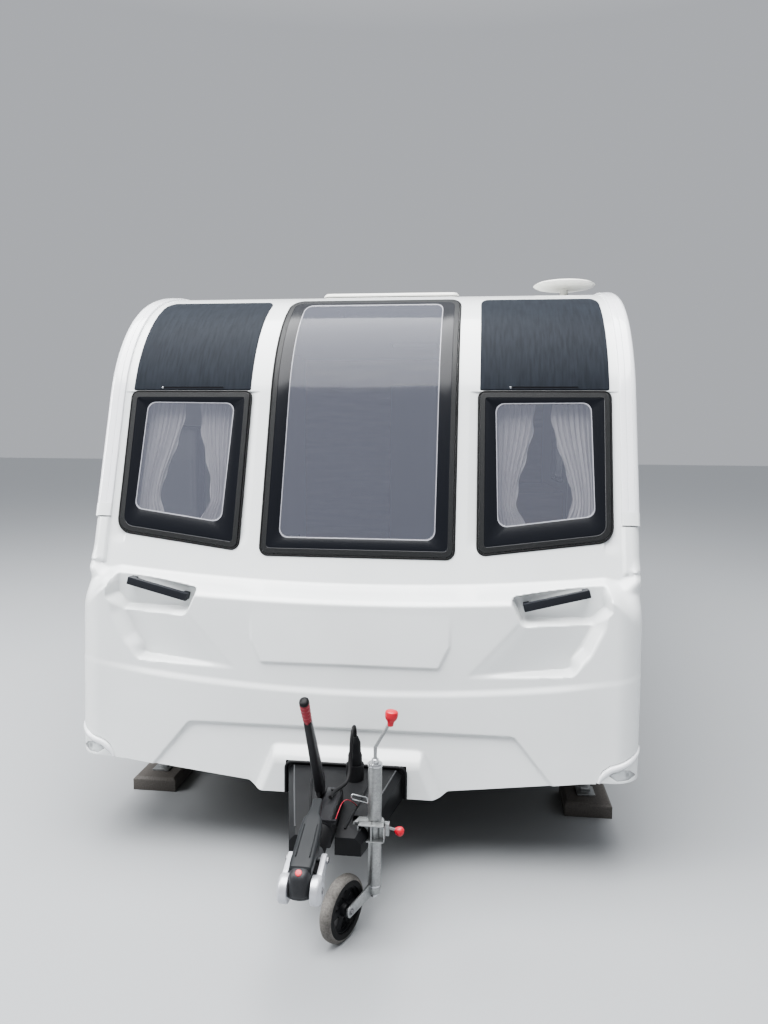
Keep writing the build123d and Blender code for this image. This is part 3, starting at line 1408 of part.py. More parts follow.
def tow_plug():
    points = [(0, plug_seat_z + 4.3), (27, plug_seat_z + 4.3), (27, plug_seat_z + 60), (23, plug_seat_z + 72),
              (21, plug_seat_z + 110), (12, plug_seat_z + 132), (0, plug_seat_z + 132)]
    face = Face(Wire.make_polygon([Vector(plug_x + r, plug_y, z) for r, z in points]))
    return Solid.revolve(face, 360, Axis((plug_x, plug_y, 0), (0, 0, 1)))


# cords: each route is a list of points, with arcs as large as their runs allow

lead_radius = 5.0
lead_route = [
    (plug_x, plug_y, plug_seat_z + 132.0),
    (50.0, nose_y + 755.0, 604.0),
    (49.0, nose_y + 728.0, 632.0),
    (47.0, nose_y + 696.0, 612.0),
    (46.0, nose_y + 682.0, 560.0),
    (47.0, nose_y + 666.0, 498.0),
    (44.0, nose_y + 626.0, 450.0),
    (24.0, nose_y + 580.0, 447.0),
    (6.0, nose_y + 540.0, 448.0),
    (2.0, nose_y + 500.0, 447.0),
]
breakaway_radius = 1.5
breakaway_route = [
    (84.0, nose_y + 576.0, 386.0),
    (76.0, nose_y + 554.0, 408.0),
    (58.0, nose_y + 526.0, 432.0),
    (49.0, nose_y + 480.0, 444.0),
    (47.0, nose_y + 420.0, 446.0),
    (44.0, nose_y + 372.0, 434.0),
]
cable_eye_length = 10.0
cable_eye_radius = 4.0
cable_lug_drop = 9.0


def cable_eye(route, last):
    """a short eye that takes one end of the cable, in line with its last run"""
    start, other = (route[-1], route[-2]) if last else (route[0], route[1])
    way = (Vector(*start) - Vector(*other)).normalized()
    return rod(start, Vector(*start) + way * cable_eye_length, cable_eye_radius)


def corner_radii(route):
    """for each inner point, 0.45 of the shorter run beside it over the tangent of half the turn"""
    points = [Vector(*p) for p in route]
    radii = []
    for a, b, c in zip(points, points[1:], points[2:]):
        turn = radians((b - a).get_angle(c - b))
        radii.append(0.45 * min((b - a).length, (c - b).length) / tan(turn / 2))
    return radii


def cord(route, radius, name):
    radii = corner_radii(route)
    path = FilletPolyline(*[Vector(*p) for p in route], radius=radii)
    start = Plane(origin=path @ 0, z_dir=path % 0)
    tube = sweep(start * Circle(radius), path=path)
    ratio = tube.volume / (pi * radius ** 2 * path.length)
    print(name, "radii", [round(r) for r in radii])
    print(name, "length", round(path.length), "volume ratio", round(ratio, 4))
    return tube


# build every piece

save(front_lower_panel(), "front_lower_panel")
save(front_upper_panel(), "front_upper_panel")
save(wall_plate(1), "side_wall_near")
save(wall_plate(-1), "side_wall_off")
save(roof_panel(), "roof_panel")
save(rear_panel(), "rear_panel")
save(floor_panel(), "floor_panel")
save(group(awning_rails()), "awning_rails")
save(group(skirts()), "side_skirts")
panes, borders, seals = front_window_pieces()
save(group(panes), "front_window_panes")
save(group(seals), "front_window_seals")
save(group(borders + front_infills()), "front_window_borders")
panes, frames = side_window_pieces()
save(group(panes), "side_window_panes")
save(group(frames), "side_window_frames")
save(group(rooflight_pieces() + [tv_aerial()]), "roof_fittings")
save(group(front_lamps()), "front_lamps")
save(group(front_lamp_housings()), "front_lamp_housings")
save(group(rear_lamps()), "rear_lamps")
save(group(grab_handles()), "grab_handles")
save(group(side_vents()), "side_vents")

save(group(chassis_rails() + steady_brackets()), "chassis_rails")
save(group(drawbar_members()), "drawbar_members")
save(axle(), "axle")
save(drawbar_cover(), "drawbar_cover")
save(overrun_housing(), "overrun_housing")
save(gaiter(), "drawtube_gaiter")
save(coupling_head(), "coupling_head")
save(coupling_handle(), "coupling_handle")
save(group(stabiliser_cheeks()), "stabiliser_cheeks")
save(handbrake_lever(), "handbrake_lever")
save(group(red_grips()), "red_grips")
save(tow_plug(), "tow_plug")
save(cord(lead_route, lead_radius, "lead"), "tow_lead")
save(cord(breakaway_route, breakaway_radius, "breakaway"), "breakaway_cable")

save(jockey_outer(), "jockey_outer_tube")
save(jockey_inner(), "jockey_inner_tube")
save(jockey_fork(), "jockey_fork")
save(jockey_tyre(), "jockey_tyre")
save(jockey_hub(), "jockey_hub")
save(group(steady_pads()), "steady_pads")
for name, side, foot_y, way in steadies:
    save(steady_leg(side, foot_y, way), "steady_leg_" + name)

tyre, rim = road_tyre(), road_rim()
for name, side in (("near", 1), ("off", -1)):
    save(at_wheel(tyre, side), "tyre_" + name)
    save(at_wheel(rim, side), "rim_" + name)

door, door_fixed, door_pane = entrance_door()
save(door, "entrance_door")
save(door_pane, "door_pane")
fixed_halves = [door_fixed]
for row in locker_doors:
    leaf, fixed = locker_leaf(row)
    save(leaf, row[0])
    fixed_halves.append(fixed)
save(group(fixed_halves), "door_hinges")

save(group(cabin_furniture()), "cabin_furniture")
save(group(locker_bays()), "locker_bays")
save(group(seat_cushions()), "seat_cushions")
save(group(curtains()), "curtains")
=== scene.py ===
import bmesh
import bpy
import json
import math
import numpy as np
from mathutils import Matrix, Vector


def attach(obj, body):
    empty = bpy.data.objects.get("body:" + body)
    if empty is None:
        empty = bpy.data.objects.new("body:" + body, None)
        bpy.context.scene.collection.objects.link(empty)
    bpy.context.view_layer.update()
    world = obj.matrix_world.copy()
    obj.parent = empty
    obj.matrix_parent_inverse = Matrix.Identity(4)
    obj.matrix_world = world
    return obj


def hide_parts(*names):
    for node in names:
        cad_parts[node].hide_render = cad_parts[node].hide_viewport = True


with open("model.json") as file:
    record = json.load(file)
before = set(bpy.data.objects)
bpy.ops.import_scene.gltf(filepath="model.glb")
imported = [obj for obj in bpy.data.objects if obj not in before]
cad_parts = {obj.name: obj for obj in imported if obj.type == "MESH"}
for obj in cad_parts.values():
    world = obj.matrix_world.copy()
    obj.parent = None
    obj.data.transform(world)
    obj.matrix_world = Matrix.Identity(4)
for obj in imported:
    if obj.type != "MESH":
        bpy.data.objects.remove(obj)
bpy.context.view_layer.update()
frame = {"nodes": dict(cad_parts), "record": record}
nodes = frame["nodes"]
bodyOf = {n: b for b, members in frame["record"]["behaviour"]["bodies"].items() for n in members}
print("frame loaded, nodes:", len(nodes))


# camera, at the photograph's place
cameraSpec = {"place": (0.474, -5.140, 1.680), "yaw": -6.551, "pitch": 5.2, "roll": 0.465,
              "focalPixels": 770.0, "imageHeight": 1024.0, "sensor": 36.0}


def makeCamera(spec):
    data = bpy.data.cameras.new("photoCamera")
    data.sensor_fit = "VERTICAL"
    data.sensor_height = spec["sensor"]
    data.sensor_width = spec["sensor"]
    data.lens = spec["focalPixels"] / spec["imageHeight"] * spec["sensor"]
    data.clip_end = 200.0
    camera = bpy.data.objects.new("photoCamera", data)
    bpy.context.scene.collection.objects.link(camera)
    yaw, pitch, roll = (math.radians(spec[k]) for k in ("yaw", "pitch", "roll"))
    right = Vector((math.cos(yaw), -math.sin(yaw), 0.0))
    ahead = Vector((math.sin(yaw) * math.cos(pitch), math.cos(yaw) * math.cos(pitch), -math.sin(pitch)))
    up = right.cross(ahead)
    turnedRight = right * math.cos(roll) + up * math.sin(roll)
    turnedUp = up * math.cos(roll) - right * math.sin(roll)
    axes = Matrix((turnedRight, turnedUp, -ahead)).transposed().to_4x4()
    camera.matrix_world = Matrix.Translation(spec["place"]) @ axes
    bpy.context.scene.camera = camera


makeCamera(cameraSpec)


# overcast studio: a pale dome, one broad lamp above the front and a weak one from the left
studio = {"domeTop": (1.0, 1.02, 1.06), "domeSide": (0.36, 0.37, 0.39), "domePower": 1.0,
          "floor": (0.33, 0.34, 0.35), "keyPower": 1900.0, "keyPlace": (-1.0, -3.2, 9.0), "keySize": 10.0,
          "sidePower": 420.0, "sidePlace": (-7.5, -5.0, 5.5)}


def areaLamp(name, place, target, size, power):
    data = bpy.data.lights.new(name, "AREA")
    data.shape = "DISK"
    data.size = size
    data.energy = power
    lamp = bpy.data.objects.new(name, data)
    bpy.context.scene.collection.objects.link(lamp)
    lamp.location = place
    lamp.rotation_euler = (Vector(target) - Vector(place)).to_track_quat("-Z", "Y").to_euler()


def makeStudio(spec):
    world = bpy.data.worlds.new("overcast")
    bpy.context.scene.world = world
    world.use_nodes = True
    tree = world.node_tree
    background = tree.nodes["Background"]
    background.inputs["Strength"].default_value = spec["domePower"]
    coords = tree.nodes.new("ShaderNodeTexCoord")
    split = tree.nodes.new("ShaderNodeSeparateXYZ")
    ramp = tree.nodes.new("ShaderNodeValToRGB")
    ramp.color_ramp.elements[0].position = 0.45
    ramp.color_ramp.elements[0].color = (*spec["domeSide"], 1)
    ramp.color_ramp.elements[1].position = 0.95
    ramp.color_ramp.elements[1].color = (*spec["domeTop"], 1)
    tree.links.new(coords.outputs["Generated"], split.inputs[0])
    tree.links.new(split.outputs["Z"], ramp.inputs[0])
    tree.links.new(ramp.outputs[0], background.inputs["Color"])
    areaLamp("keyLamp", spec["keyPlace"], (0, -1.5, 1.0), spec["keySize"], spec["keyPower"])
    areaLamp("sideLamp", spec["sidePlace"], (0, -1.0, 1.0), 4.0, spec["sidePower"])
    mesh = bpy.data.meshes.new("floor")
    reach = 60.0
    mesh.from_pydata([(-reach, -reach, 0), (reach, -reach, 0), (reach, reach, 0), (-reach, reach, 0)], [],
                     [(0, 1, 2, 3)])
    floor = bpy.data.objects.new("floor", mesh)
    bpy.context.scene.collection.objects.link(floor)
    paint = bpy.data.materials.new("floorPaint")
    paint.use_nodes = True
    shader = paint.node_tree.nodes["Principled BSDF"]
    shader.inputs["Base Color"].default_value = (*spec["floor"], 1)
    shader.inputs["Roughness"].default_value = 0.75
    mesh.materials.append(paint)


makeStudio(studio)
bpy.context.scene.view_settings.look = "AgX - Medium High Contrast"
bpy.context.scene.view_settings.exposure = 0.22
print("camera and studio")


# materials: each row is colour, roughness, metal, coat, and the texture that it carries
# texture rows: kind, scale, strength, bump distance in metres, share of colour change
finishes = {
    "gelcoat": ((0.78, 0.80, 0.80), 0.24, 0.0, 0.5, [("beads", 210.0, 0.35, 0.0006, 0.0),
                                                   ("cloud", 3.0, 0.2, 0.0, 0.05)]),
    "wallPaint": ((0.80, 0.81, 0.81), 0.22, 0.0, 0.4, [("cloud", 2.0, 0.3, 0.0008, 0.04)]),
    "roofPaint": ((0.76, 0.77, 0.76), 0.38, 0.0, 0.1, [("grain", 60.0, 0.25, 0.0006, 0.06),
                                                     ("cloud", 3.0, 0.2, 0.0, 0.08)]),
    "trimPaint": ((0.83, 0.84, 0.86), 0.18, 0.0, 0.6, [("cloud", 5.0, 0.2, 0.0004, 0.03)]),
    "whitePlastic": ((0.74, 0.74, 0.70), 0.42, 0.0, 0.0, [("grain", 240.0, 0.2, 0.0002, 0.04),
                                                        ("cloud", 6.0, 0.2, 0.0, 0.06)]),
    "blackGloss": ((0.007, 0.008, 0.011), 0.20, 0.0, 0.0, [("beads", 260.0, 0.3, 0.0004, 0.0)]),
    "infillSlate": ((0.020, 0.024, 0.031), 0.50, 0.0, 0.0, [("streaks", 90.0, 0.3, 0.0005, 0.28)]),
    # pale line round the clear middle of a front pane: a painted reflection
    "paneEdgeReflection": ((0.30, 0.30, 0.33), 0.3, 0.0, 0.1, [("grain", 300.0, 0.3, 0.0002, 0.15)]),
    # floor of the infill slot: painted shade
    "slotPaintedShade": ((0.008, 0.008, 0.010), 0.5, 0.0, 0.0, [("grain", 300.0, 0.3, 0.0002, 0.2)]),
    "wornSteel": ((0.30, 0.30, 0.31), 0.42, 0.8, 0.0, [("grain", 260.0, 0.4, 0.0002, 0.3)]),
    "gripRed": ((0.30, 0.020, 0.035), 0.42, 0.0, 0.0, [("grain", 200.0, 0.3, 0.0002, 0.25)]),
    "handleBlack": ((0.015, 0.017, 0.019), 0.40, 0.0, 0.0, [("grain", 320.0, 0.35, 0.0002, 0.2)]),
    "handleRough": ((0.024, 0.026, 0.032), 0.5, 0.0, 0.0, [("grain", 420.0, 0.8, 0.0006, 0.4)]),
    "headGrey": ((0.030, 0.031, 0.034), 0.46, 0.0, 0.0, [("grain", 260.0, 0.4, 0.0003, 0.3)]),
    # pane bevel: the water beads are real bumps, and their lighter spots in the colour are painted glints of wet
    # reflection
    "rimBeadsAndPaintedGlints": ((0.034, 0.036, 0.038), 0.42, 0.0, 0.0, [("beads", 230.0, 1.0, 0.0016, 0.6)]),
    "rubber": ((0.012, 0.012, 0.013), 0.62, 0.0, 0.0, [("grain", 300.0, 0.3, 0.0003, 0.2)]),
    "blackPlastic": ((0.012, 0.0125, 0.014), 0.48, 0.0, 0.0, [("grain", 380.0, 0.5, 0.0003, 0.25),
                                                           ("cloud", 9.0, 0.3, 0.0, 0.3)]),
    "greyPlastic": ((0.075, 0.078, 0.082), 0.48, 0.0, 0.0, [("grain", 300.0, 0.5, 0.0004, 0.2),
                                                          ("cloud", 12.0, 0.3, 0.0, 0.2)]),
    "galvanised": ((0.42, 0.43, 0.43), 0.38, 0.85, 0.0, [("spangle", 190.0, 0.4, 0.0002, 0.16),
                                                        ("cloud", 14.0, 0.3, 0.0, 0.2)]),
    "blackPaint": ((0.016, 0.016, 0.018), 0.42, 0.0, 0.0, [("grain", 160.0, 0.3, 0.0003, 0.2)]),
    "castIron": ((0.060, 0.062, 0.066), 0.5, 0.4, 0.0, [("grain", 220.0, 0.6, 0.0006, 0.25)]),
    "cheekSilver": ((0.56, 0.57, 0.60), 0.36, 0.55, 0.1, [("grain", 300.0, 0.25, 0.0002, 0.06),
                                                        ("cloud", 20.0, 0.2, 0.0, 0.1)]),
    "redPlastic": ((0.55, 0.012, 0.028), 0.34, 0.0, 0.1, [("grain", 240.0, 0.2, 0.0002, 0.1)]),
    "tyreRubber": ((0.026, 0.026, 0.027), 0.72, 0.0, 0.0, [("grain", 260.0, 0.5, 0.0005, 0.35),
                                                         ("cloud", 8.0, 0.3, 0.0, 0.3)]),
    "dustyRubber": ((0.235, 0.222, 0.205), 0.85, 0.0, 0.0, [("grain", 160.0, 0.6, 0.0008, 0.4),
                                                         ("cloud", 24.0, 0.4, 0.0, 0.4)]),
    "alloy": ((0.52, 0.53, 0.55), 0.28, 0.75, 0.2, [("grain", 400.0, 0.15, 0.0001, 0.05)]),
    "padPlastic": ((0.12, 0.11, 0.10), 0.65, 0.0, 0.0, [("grain", 150.0, 0.5, 0.0008, 0.35)]),
    "cabinetWood": ((0.42, 0.31, 0.20), 0.42, 0.0, 0.1, [("wood", 18.0, 0.4, 0.0002, 0.3)]),
    "cushionCloth": ((0.36, 0.33, 0.30), 0.85, 0.0, 0.0, [("weave", 420.0, 0.5, 0.0006, 0.2)]),
    "curtainCloth": ((0.72, 0.70, 0.72), 0.8, 0.0, 0.0, [("weave", 700.0, 0.3, 0.0003, 0.06)]),
    "lampRed": ((0.34, 0.008, 0.008), 0.14, 0.0, 0.5, [("ribs", 260.0, 0.5, 0.0006, 0.1)]),
    "lampAmber": ((0.75, 0.22, 0.01), 0.14, 0.0, 0.5, [("ribs", 260.0, 0.5, 0.0006, 0.1)]),
    "reflector": ((0.62, 0.63, 0.64), 0.16, 0.9, 0.0, [("grain", 90.0, 0.3, 0.0006, 0.1)]),
    "cableRed": ((0.42, 0.02, 0.04), 0.35, 0.0, 0.1, [("grain", 500.0, 0.3, 0.0002, 0.2)]),
    "brightSteel": ((0.60, 0.61, 0.62), 0.22, 0.95, 0.0, [("grain", 300.0, 0.2, 0.0001, 0.08)]),
    "darkCabin": ((0.10, 0.10, 0.11), 0.7, 0.0, 0.0, [("cloud", 4.0, 0.2, 0.0, 0.1)]),
    "plateYellow": ((0.72, 0.50, 0.03), 0.3, 0.0, 0.3, [("grain", 500.0, 0.2, 0.0001, 0.04)]),
    "board": ((0.16, 0.15, 0.13), 0.75, 0.0, 0.0, [("grain", 40.0, 0.5, 0.001, 0.3)]),
}
sheer = {  # colour, roughness, alpha, texture
    "smokedAcrylic": ((0.115, 0.12, 0.145), 0.07, 0.62, [("beads", 240.0, 0.2, 0.0003, 0.0)]),
    "clearLens": ((0.92, 0.95, 0.96), 0.05, 0.30, [("ribs", 120.0, 0.4, 0.0006, 0.0)]),
}


# how strongly the dull finishes mirror what is round them, 0.5 for all others
dull = {"smokedAcrylic": 0.26, "infillSlate": 0.06, "slotPaintedShade": 0.05, "blackGloss": 0.28, "blackPlastic": 0.22,
        "handleBlack": 0.26, "handleRough": 0.2, "rimBeadsAndPaintedGlints": 0.3, "rubber": 0.25, "blackPaint": 0.28,
        "greyPlastic": 0.3, "headGrey": 0.34, "tyreRubber": 0.2}


def textureNode(tree, kind, scale, place):
    noise = tree.nodes.new("ShaderNodeTexNoise")
    noise.inputs["Scale"].default_value = scale
    noise.inputs["Detail"].default_value = 6.0
    tree.links.new(place, noise.inputs["Vector"])
    if kind in ("grain", "cloud"):
        return noise.outputs["Fac"]
    if kind in ("beads", "spangle"):
        cells = tree.nodes.new("ShaderNodeTexVoronoi")
        cells.inputs["Scale"].default_value = scale
        tree.links.new(place, cells.inputs["Vector"])
        if kind == "spangle":
            grey = tree.nodes.new("ShaderNodeRGBToBW")
            tree.links.new(cells.outputs["Color"], grey.inputs[0])
            return grey.outputs[0]
        bead = tree.nodes.new("ShaderNodeMapRange")
        bead.inputs["From Min"].default_value = 0.0
        bead.inputs["From Max"].default_value = 0.32
        bead.inputs["To Min"].default_value = 1.0
        bead.inputs["To Max"].default_value = 0.0
        bead.interpolation_type = "SMOOTHSTEP"
        tree.links.new(cells.outputs["Distance"], bead.inputs["Value"])
        return bead.outputs[0]
    stretch = tree.nodes.new("ShaderNodeMapping")
    stretch.inputs["Scale"].default_value = {"streaks": (1.0, 0.12, 0.12), "wood": (0.15, 1.0, 1.0),
                                             "weave": (1.0, 1.0, 1.0), "ribs": (1.0, 1.0, 1.0)}[kind]
    tree.links.new(place, stretch.inputs["Vector"])
    if kind in ("streaks", "wood"):
        tree.links.new(stretch.outputs[0], noise.inputs["Vector"])
        return noise.outputs["Fac"]
    waveX = tree.nodes.new("ShaderNodeTexWave")
    waveX.inputs["Scale"].default_value = scale * 0.3
    waveX.bands_direction = "X"
    tree.links.new(stretch.outputs[0], waveX.inputs["Vector"])
    if kind == "ribs":
        return waveX.outputs["Fac"]
    waveZ = tree.nodes.new("ShaderNodeTexWave")
    waveZ.inputs["Scale"].default_value = scale * 0.3
    waveZ.bands_direction = "Z"
    tree.links.new(stretch.outputs[0], waveZ.inputs["Vector"])
    both = tree.nodes.new("ShaderNodeMath")
    both.operation = "MAXIMUM"
    tree.links.new(waveX.outputs["Fac"], both.inputs[0])
    tree.links.new(waveZ.outputs["Fac"], both.inputs[1])
    return both.outputs[0]


def makeMaterial(name, colour, roughness, metal, coat, layers, alpha=1.0):
    material = bpy.data.materials.new(name)
    material.use_nodes = True
    tree = material.node_tree
    shader = tree.nodes["Principled BSDF"]
    shader.inputs["Base Color"].default_value = (*colour, 1)
    shader.inputs["Roughness"].default_value = roughness
    shader.inputs["Metallic"].default_value = metal
    shader.inputs["Coat Weight"].default_value = coat
    shader.inputs["Specular IOR Level"].default_value = dull.get(name, 0.5)
    shader.inputs["Coat Roughness"].default_value = 0.06
    shader.inputs["Alpha"].default_value = alpha
    material.diffuse_color = (*colour, alpha)
    place = tree.nodes.new("ShaderNodeTexCoord").outputs["Object"]
    tint, normal = None, None
    for kind, scale, strength, depth, change in layers:
        value = textureNode(tree, kind, scale, place)
        if depth > 0:
            bump = tree.nodes.new("ShaderNodeBump")
            bump.inputs["Strength"].default_value = strength
            bump.inputs["Distance"].default_value = depth
            tree.links.new(value, bump.inputs["Height"])
            if normal:
                tree.links.new(normal, bump.inputs["Normal"])
            normal = bump.outputs["Normal"]
        if change > 0:
            ramp = tree.nodes.new("ShaderNodeValToRGB")
            low = tuple(c * (1 - change) for c in (1, 1, 1))
            ramp.color_ramp.elements[0].position = 0.32
            ramp.color_ramp.elements[0].color = (*low, 1)
            ramp.color_ramp.elements[1].position = 0.68
            ramp.color_ramp.elements[1].color = (1, 1, 1, 1)
            tree.links.new(value, ramp.inputs[0])
            mix = tree.nodes.new("ShaderNodeMix")
            mix.data_type = "RGBA"
            mix.blend_type = "MULTIPLY"
            mix.inputs["Factor"].default_value = 1.0
            if tint:
                tree.links.new(tint, mix.inputs[6])
            else:
                mix.inputs[6].default_value = (*colour, 1)
            tree.links.new(ramp.outputs[0], mix.inputs[7])
            tint = mix.outputs[2]
    if tint:
        tree.links.new(tint, shader.inputs["Base Color"])
    if normal:
        tree.links.new(normal, shader.inputs["Normal"])
    return material


paints = {name: makeMaterial(name, *row) for name, row in finishes.items()}
for name, (colour, roughness, alpha, layers) in sheer.items():
    paints[name] = makeMaterial(name, colour, roughness, 0.0, 0.0, layers, alpha)
print("materials:", len(paints))


# mesh helpers
def newPiece(name, verts, faces, paint, body, smoothAngle=35.0):
    mesh = bpy.data.meshes.new(name)
    mesh.from_pydata([tuple(v) for v in verts], [], faces)
    mesh.update()
    return fromMesh(name, mesh, paint, body, smoothAngle)


def fromMesh(name, mesh, paint, body, smoothAngle=35.0):
    obj = bpy.data.objects.new(name, mesh)
    bpy.context.scene.collection.objects.link(obj)
    for each in (paint if isinstance(paint, (list, tuple)) else [paint]):
        mesh.materials.append(paints[each])
    if smoothAngle:
        mesh.polygons.foreach_set("use_smooth", [True] * len(mesh.polygons))
        mesh.set_sharp_from_angle(angle=math.radians(smoothAngle))
    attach(obj, body)
    return obj


def dressed(node, paint, width=0.002, segments=2, angle=32.0):
    # a copy of the CAD node with clean faces and rounded edges, shown in its place
    bm = bmesh.new()
    bm.from_mesh(nodes[node].data)
    bmesh.ops.remove_doubles(bm, verts=bm.verts, dist=2e-5)
    bmesh.ops.dissolve_limit(bm, angle_limit=math.radians(0.6), verts=bm.verts, edges=bm.edges)
    sharp = [e for e in bm.edges if len(e.link_faces) == 2 and e.calc_face_angle(0.0) > math.radians(angle)]
    if width > 0:
        bmesh.ops.bevel(bm, geom=sharp, offset=width, offset_type="OFFSET", segments=segments, profile=0.6,
                        affect="EDGES", clamp_overlap=True)
    mesh = bpy.data.meshes.new(node + "Dressed")
    bm.to_mesh(mesh)
    bm.free()
    mesh.materials.clear()
    piece = fromMesh(node + "Dressed", mesh, paint, bodyOf[node], 40.0)
    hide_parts(node)
    return piece


def paintNode(node, paint):
    obj = nodes[node]
    obj.data.materials.clear()
    obj.data.materials.append(paints[paint])


def smoothStep(t):
    t = np.clip(t, 0.0, 1.0)
    return t * t * (3 - 2 * t)


def signedDistance(points, x, z):
    # distance to a closed outline, negative inside it
    best = np.full(x.shape, 1e9)
    inside = np.zeros(x.shape, bool)
    for i, (ax, az) in enumerate(points):
        bx, bz = points[(i + 1) % len(points)]
        ex, ez = bx - ax, bz - az
        t = np.clip(((x - ax) * ex + (z - az) * ez) / (ex * ex + ez * ez), 0, 1)
        best = np.minimum(best, np.hypot(x - ax - t * ex, z - az - t * ez))
        rise = bz - az if abs(bz - az) > 1e-12 else 1e-12
        inside ^= ((az > z) != (bz > z)) & (x < ax + (z - az) / rise * ex)
    return np.where(inside, -best, best)


def insetOutline(points, distance):
    # the outline moved inwards; points run against the clock
    lines = []
    for i, (ax, az) in enumerate(points):
        bx, bz = points[(i + 1) % len(points)]
        length = math.hypot(bx - ax, bz - az)
        nx, nz = -(bz - az) / length, (bx - ax) / length
        lines.append((ax + nx * distance, az + nz * distance, bx - ax, bz - az))
    moved = []
    for i, (px, pz, ex, ez) in enumerate(lines):
        qx, qz, fx, fz = lines[i - 1]
        cross = fx * ez - fz * ex
        t = ((px - qx) * ez - (pz - qz) * ex) / cross
        moved.append((qx + fx * t, qz + fz * t))
    return moved


def roundedOutline(points, radii, steps=6, divide=None):
    # corners as arcs; straight runs cut into equal parts so that outlines of one kind match point for point
    count = len(points)
    radii = radii if isinstance(radii, (list, tuple)) else [radii] * count
    divide = divide or [1] * count
    corners = []
    for i in range(count):
        before, here, after = (np.array(points[j % count], float) for j in (i - 1, i, i + 1))
        a, b = before - here, after - here
        a, b = a / np.linalg.norm(a), b / np.linalg.norm(b)
        half = math.acos(float(np.clip(a @ b, -1, 1))) / 2
        start, end = here + a * radii[i] / math.tan(half), here + b * radii[i] / math.tan(half)
        centre = here + (a + b) / np.linalg.norm(a + b) * radii[i] / math.sin(half)
        first = math.atan2(*(start - centre)[::-1])
        turn = (math.atan2(*(end - centre)[::-1]) - first + math.pi) % (2 * math.pi) - math.pi
        arc = [centre + radii[i] * np.array((math.cos(first + turn * k / steps), math.sin(first + turn * k / steps)))
               for k in range(steps + 1)]
        corners.append(arc)
    result = []
    for i, arc in enumerate(corners):
        result.extend(tuple(p) for p in arc)
        start, end = arc[-1], corners[(i + 1) % count][0]
        for k in range(1, divide[i]):
            result.append(tuple(start + (end - start) * k / divide[i]))
    return result


def mirrorOutline(points):
    return [(-x, z) for x, z in reversed(points)]


def softMin(a, b, reach):
    h = np.clip(0.5 + 0.5 * (b - a) / reach, 0, 1)
    return b * (1 - h) + a * h - reach * h * (1 - h)


def softMax(a, b, reach):
    return -softMin(-a, -b, reach)


# side profile of the body: y, z and the way out, along the front, the roof and the rear
profile = {"foot": (-2.068, 1.110), "lean": 17.2, "browStart": 1.880, "browCentre": (-1.1307, 1.6636),
           "browRadius": 0.7316, "browEnd": (-1.398, 2.345), "crownStart": (-1.077, 2.424), "crownZ": 2.465,
           "rearY": 3.085, "rearRadius": 0.250}


def profileSamples(spec, step=0.012):
    rows = []
    lean = math.radians(spec["lean"])
    y0, z0 = spec["foot"]
    for z in np.arange(1.0, spec["browStart"], step):
        rows.append((y0 + (z - z0) * math.tan(lean), z, -math.cos(lean), math.sin(lean)))
    cy, cz = spec["browCentre"]
    radius = spec["browRadius"]
    first = math.asin((spec["browStart"] - cz) / radius)
    last = math.asin((spec["browEnd"][1] - cz) / radius)
    for a in np.linspace(first, last, int((last - first) * radius / step) + 1):
        rows.append((cy - radius * math.cos(a), cz + radius * math.sin(a), -math.cos(a), math.sin(a)))

    def bend(start, end, slope):
        # one arc from a point with a known slope to the next point
        chord = math.atan2(end[1] - start[1], end[0] - start[0])
        turn = 2 * (slope - chord)
        run = math.hypot(end[0] - start[0], end[1] - start[1])
        reach = run / (2 * math.sin(turn / 2))
        centre = (start[0] + reach * math.sin(slope), start[1] - reach * math.cos(slope))
        for a in np.linspace(slope, slope - turn, max(int(run / step), 4) + 1)[1:]:
            rows.append((centre[0] - reach * math.sin(a), centre[1] + reach * math.cos(a), -math.sin(a), math.cos(a)))
        return slope - turn

    slope = bend(spec["browEnd"], spec["crownStart"], math.pi / 2 - last)
    crownY = spec["crownStart"][0] + (spec["crownZ"] - spec["crownStart"][1]) / math.tan(slope / 2)
    bend(spec["crownStart"], (crownY, spec["crownZ"]), slope)
    flatEnd = spec["rearY"] - spec["rearRadius"]
    for y in np.linspace(crownY, flatEnd, 40)[1:]:
        rows.append((y, spec["crownZ"], 0.0, 1.0))
    for a in np.linspace(0, math.pi / 2, 24)[1:]:
        rows.append((flatEnd + spec["rearRadius"] * math.sin(a),
                     spec["crownZ"] - spec["rearRadius"] * (1 - math.cos(a)), math.sin(a), math.cos(a)))
    for z in np.arange(spec["crownZ"] - spec["rearRadius"] - 0.05, 0.543, -0.05):
        rows.append((spec["rearY"], z, 1.0, 0.0))
    rows.append((spec["rearY"], 0.544, 1.0, 0.0))
    return np.array(rows)


profileRows = profileSamples(profile)
frontRows = profileRows[profileRows[:, 0] <= profile["crownStart"][0] + 1e-6]


def onFront(x, z, proud=0.0):
    # a point over the upper front, at its height on the profile
    y, ny, nz = (np.interp(z, frontRows[:, 1], frontRows[:, k]) for k in (0, 2, 3))
    return np.stack(np.broadcast_arrays(x, y + ny * proud, z + nz * proud), axis=-1)


# front windows: outlines in front view on the door side, against the clock
windows = {"centrePane": [(-0.400, 1.212), (0.400, 1.212), (0.400, 2.352), (-0.400, 2.352)],
           "centreGlass": [(-0.326, 1.278), (0.326, 1.278), (0.326, 2.318), (-0.326, 2.318)],
           "sidePane": [(0.502, 1.229), (1.029, 1.296), (1.032, 1.890), (0.498, 1.890)],
           "sideGlass": [(0.577, 1.333), (0.966, 1.386), (0.957, 1.847), (0.563, 1.843)],
           "centreRadii": [0.030, 0.030, 0.045, 0.045], "sideRadii": [0.026, 0.058, 0.022, 0.022],
           "glassRadius": 0.036, "rim": 0.022, "proud": 0.0085, "seal": 0.009,
           "infill": [(0.498, 1.901), (1.032, 1.901), (1.032, 2.352), (0.498, 2.352)],
           "infillRadii": [0.006, 0.006, 0.040, 0.034], "slot": (0.622, 0.905, 1.907, 1.914)}
glassOutlines = [windows["centreGlass"], windows["sideGlass"], mirrorOutline(windows["sideGlass"])]

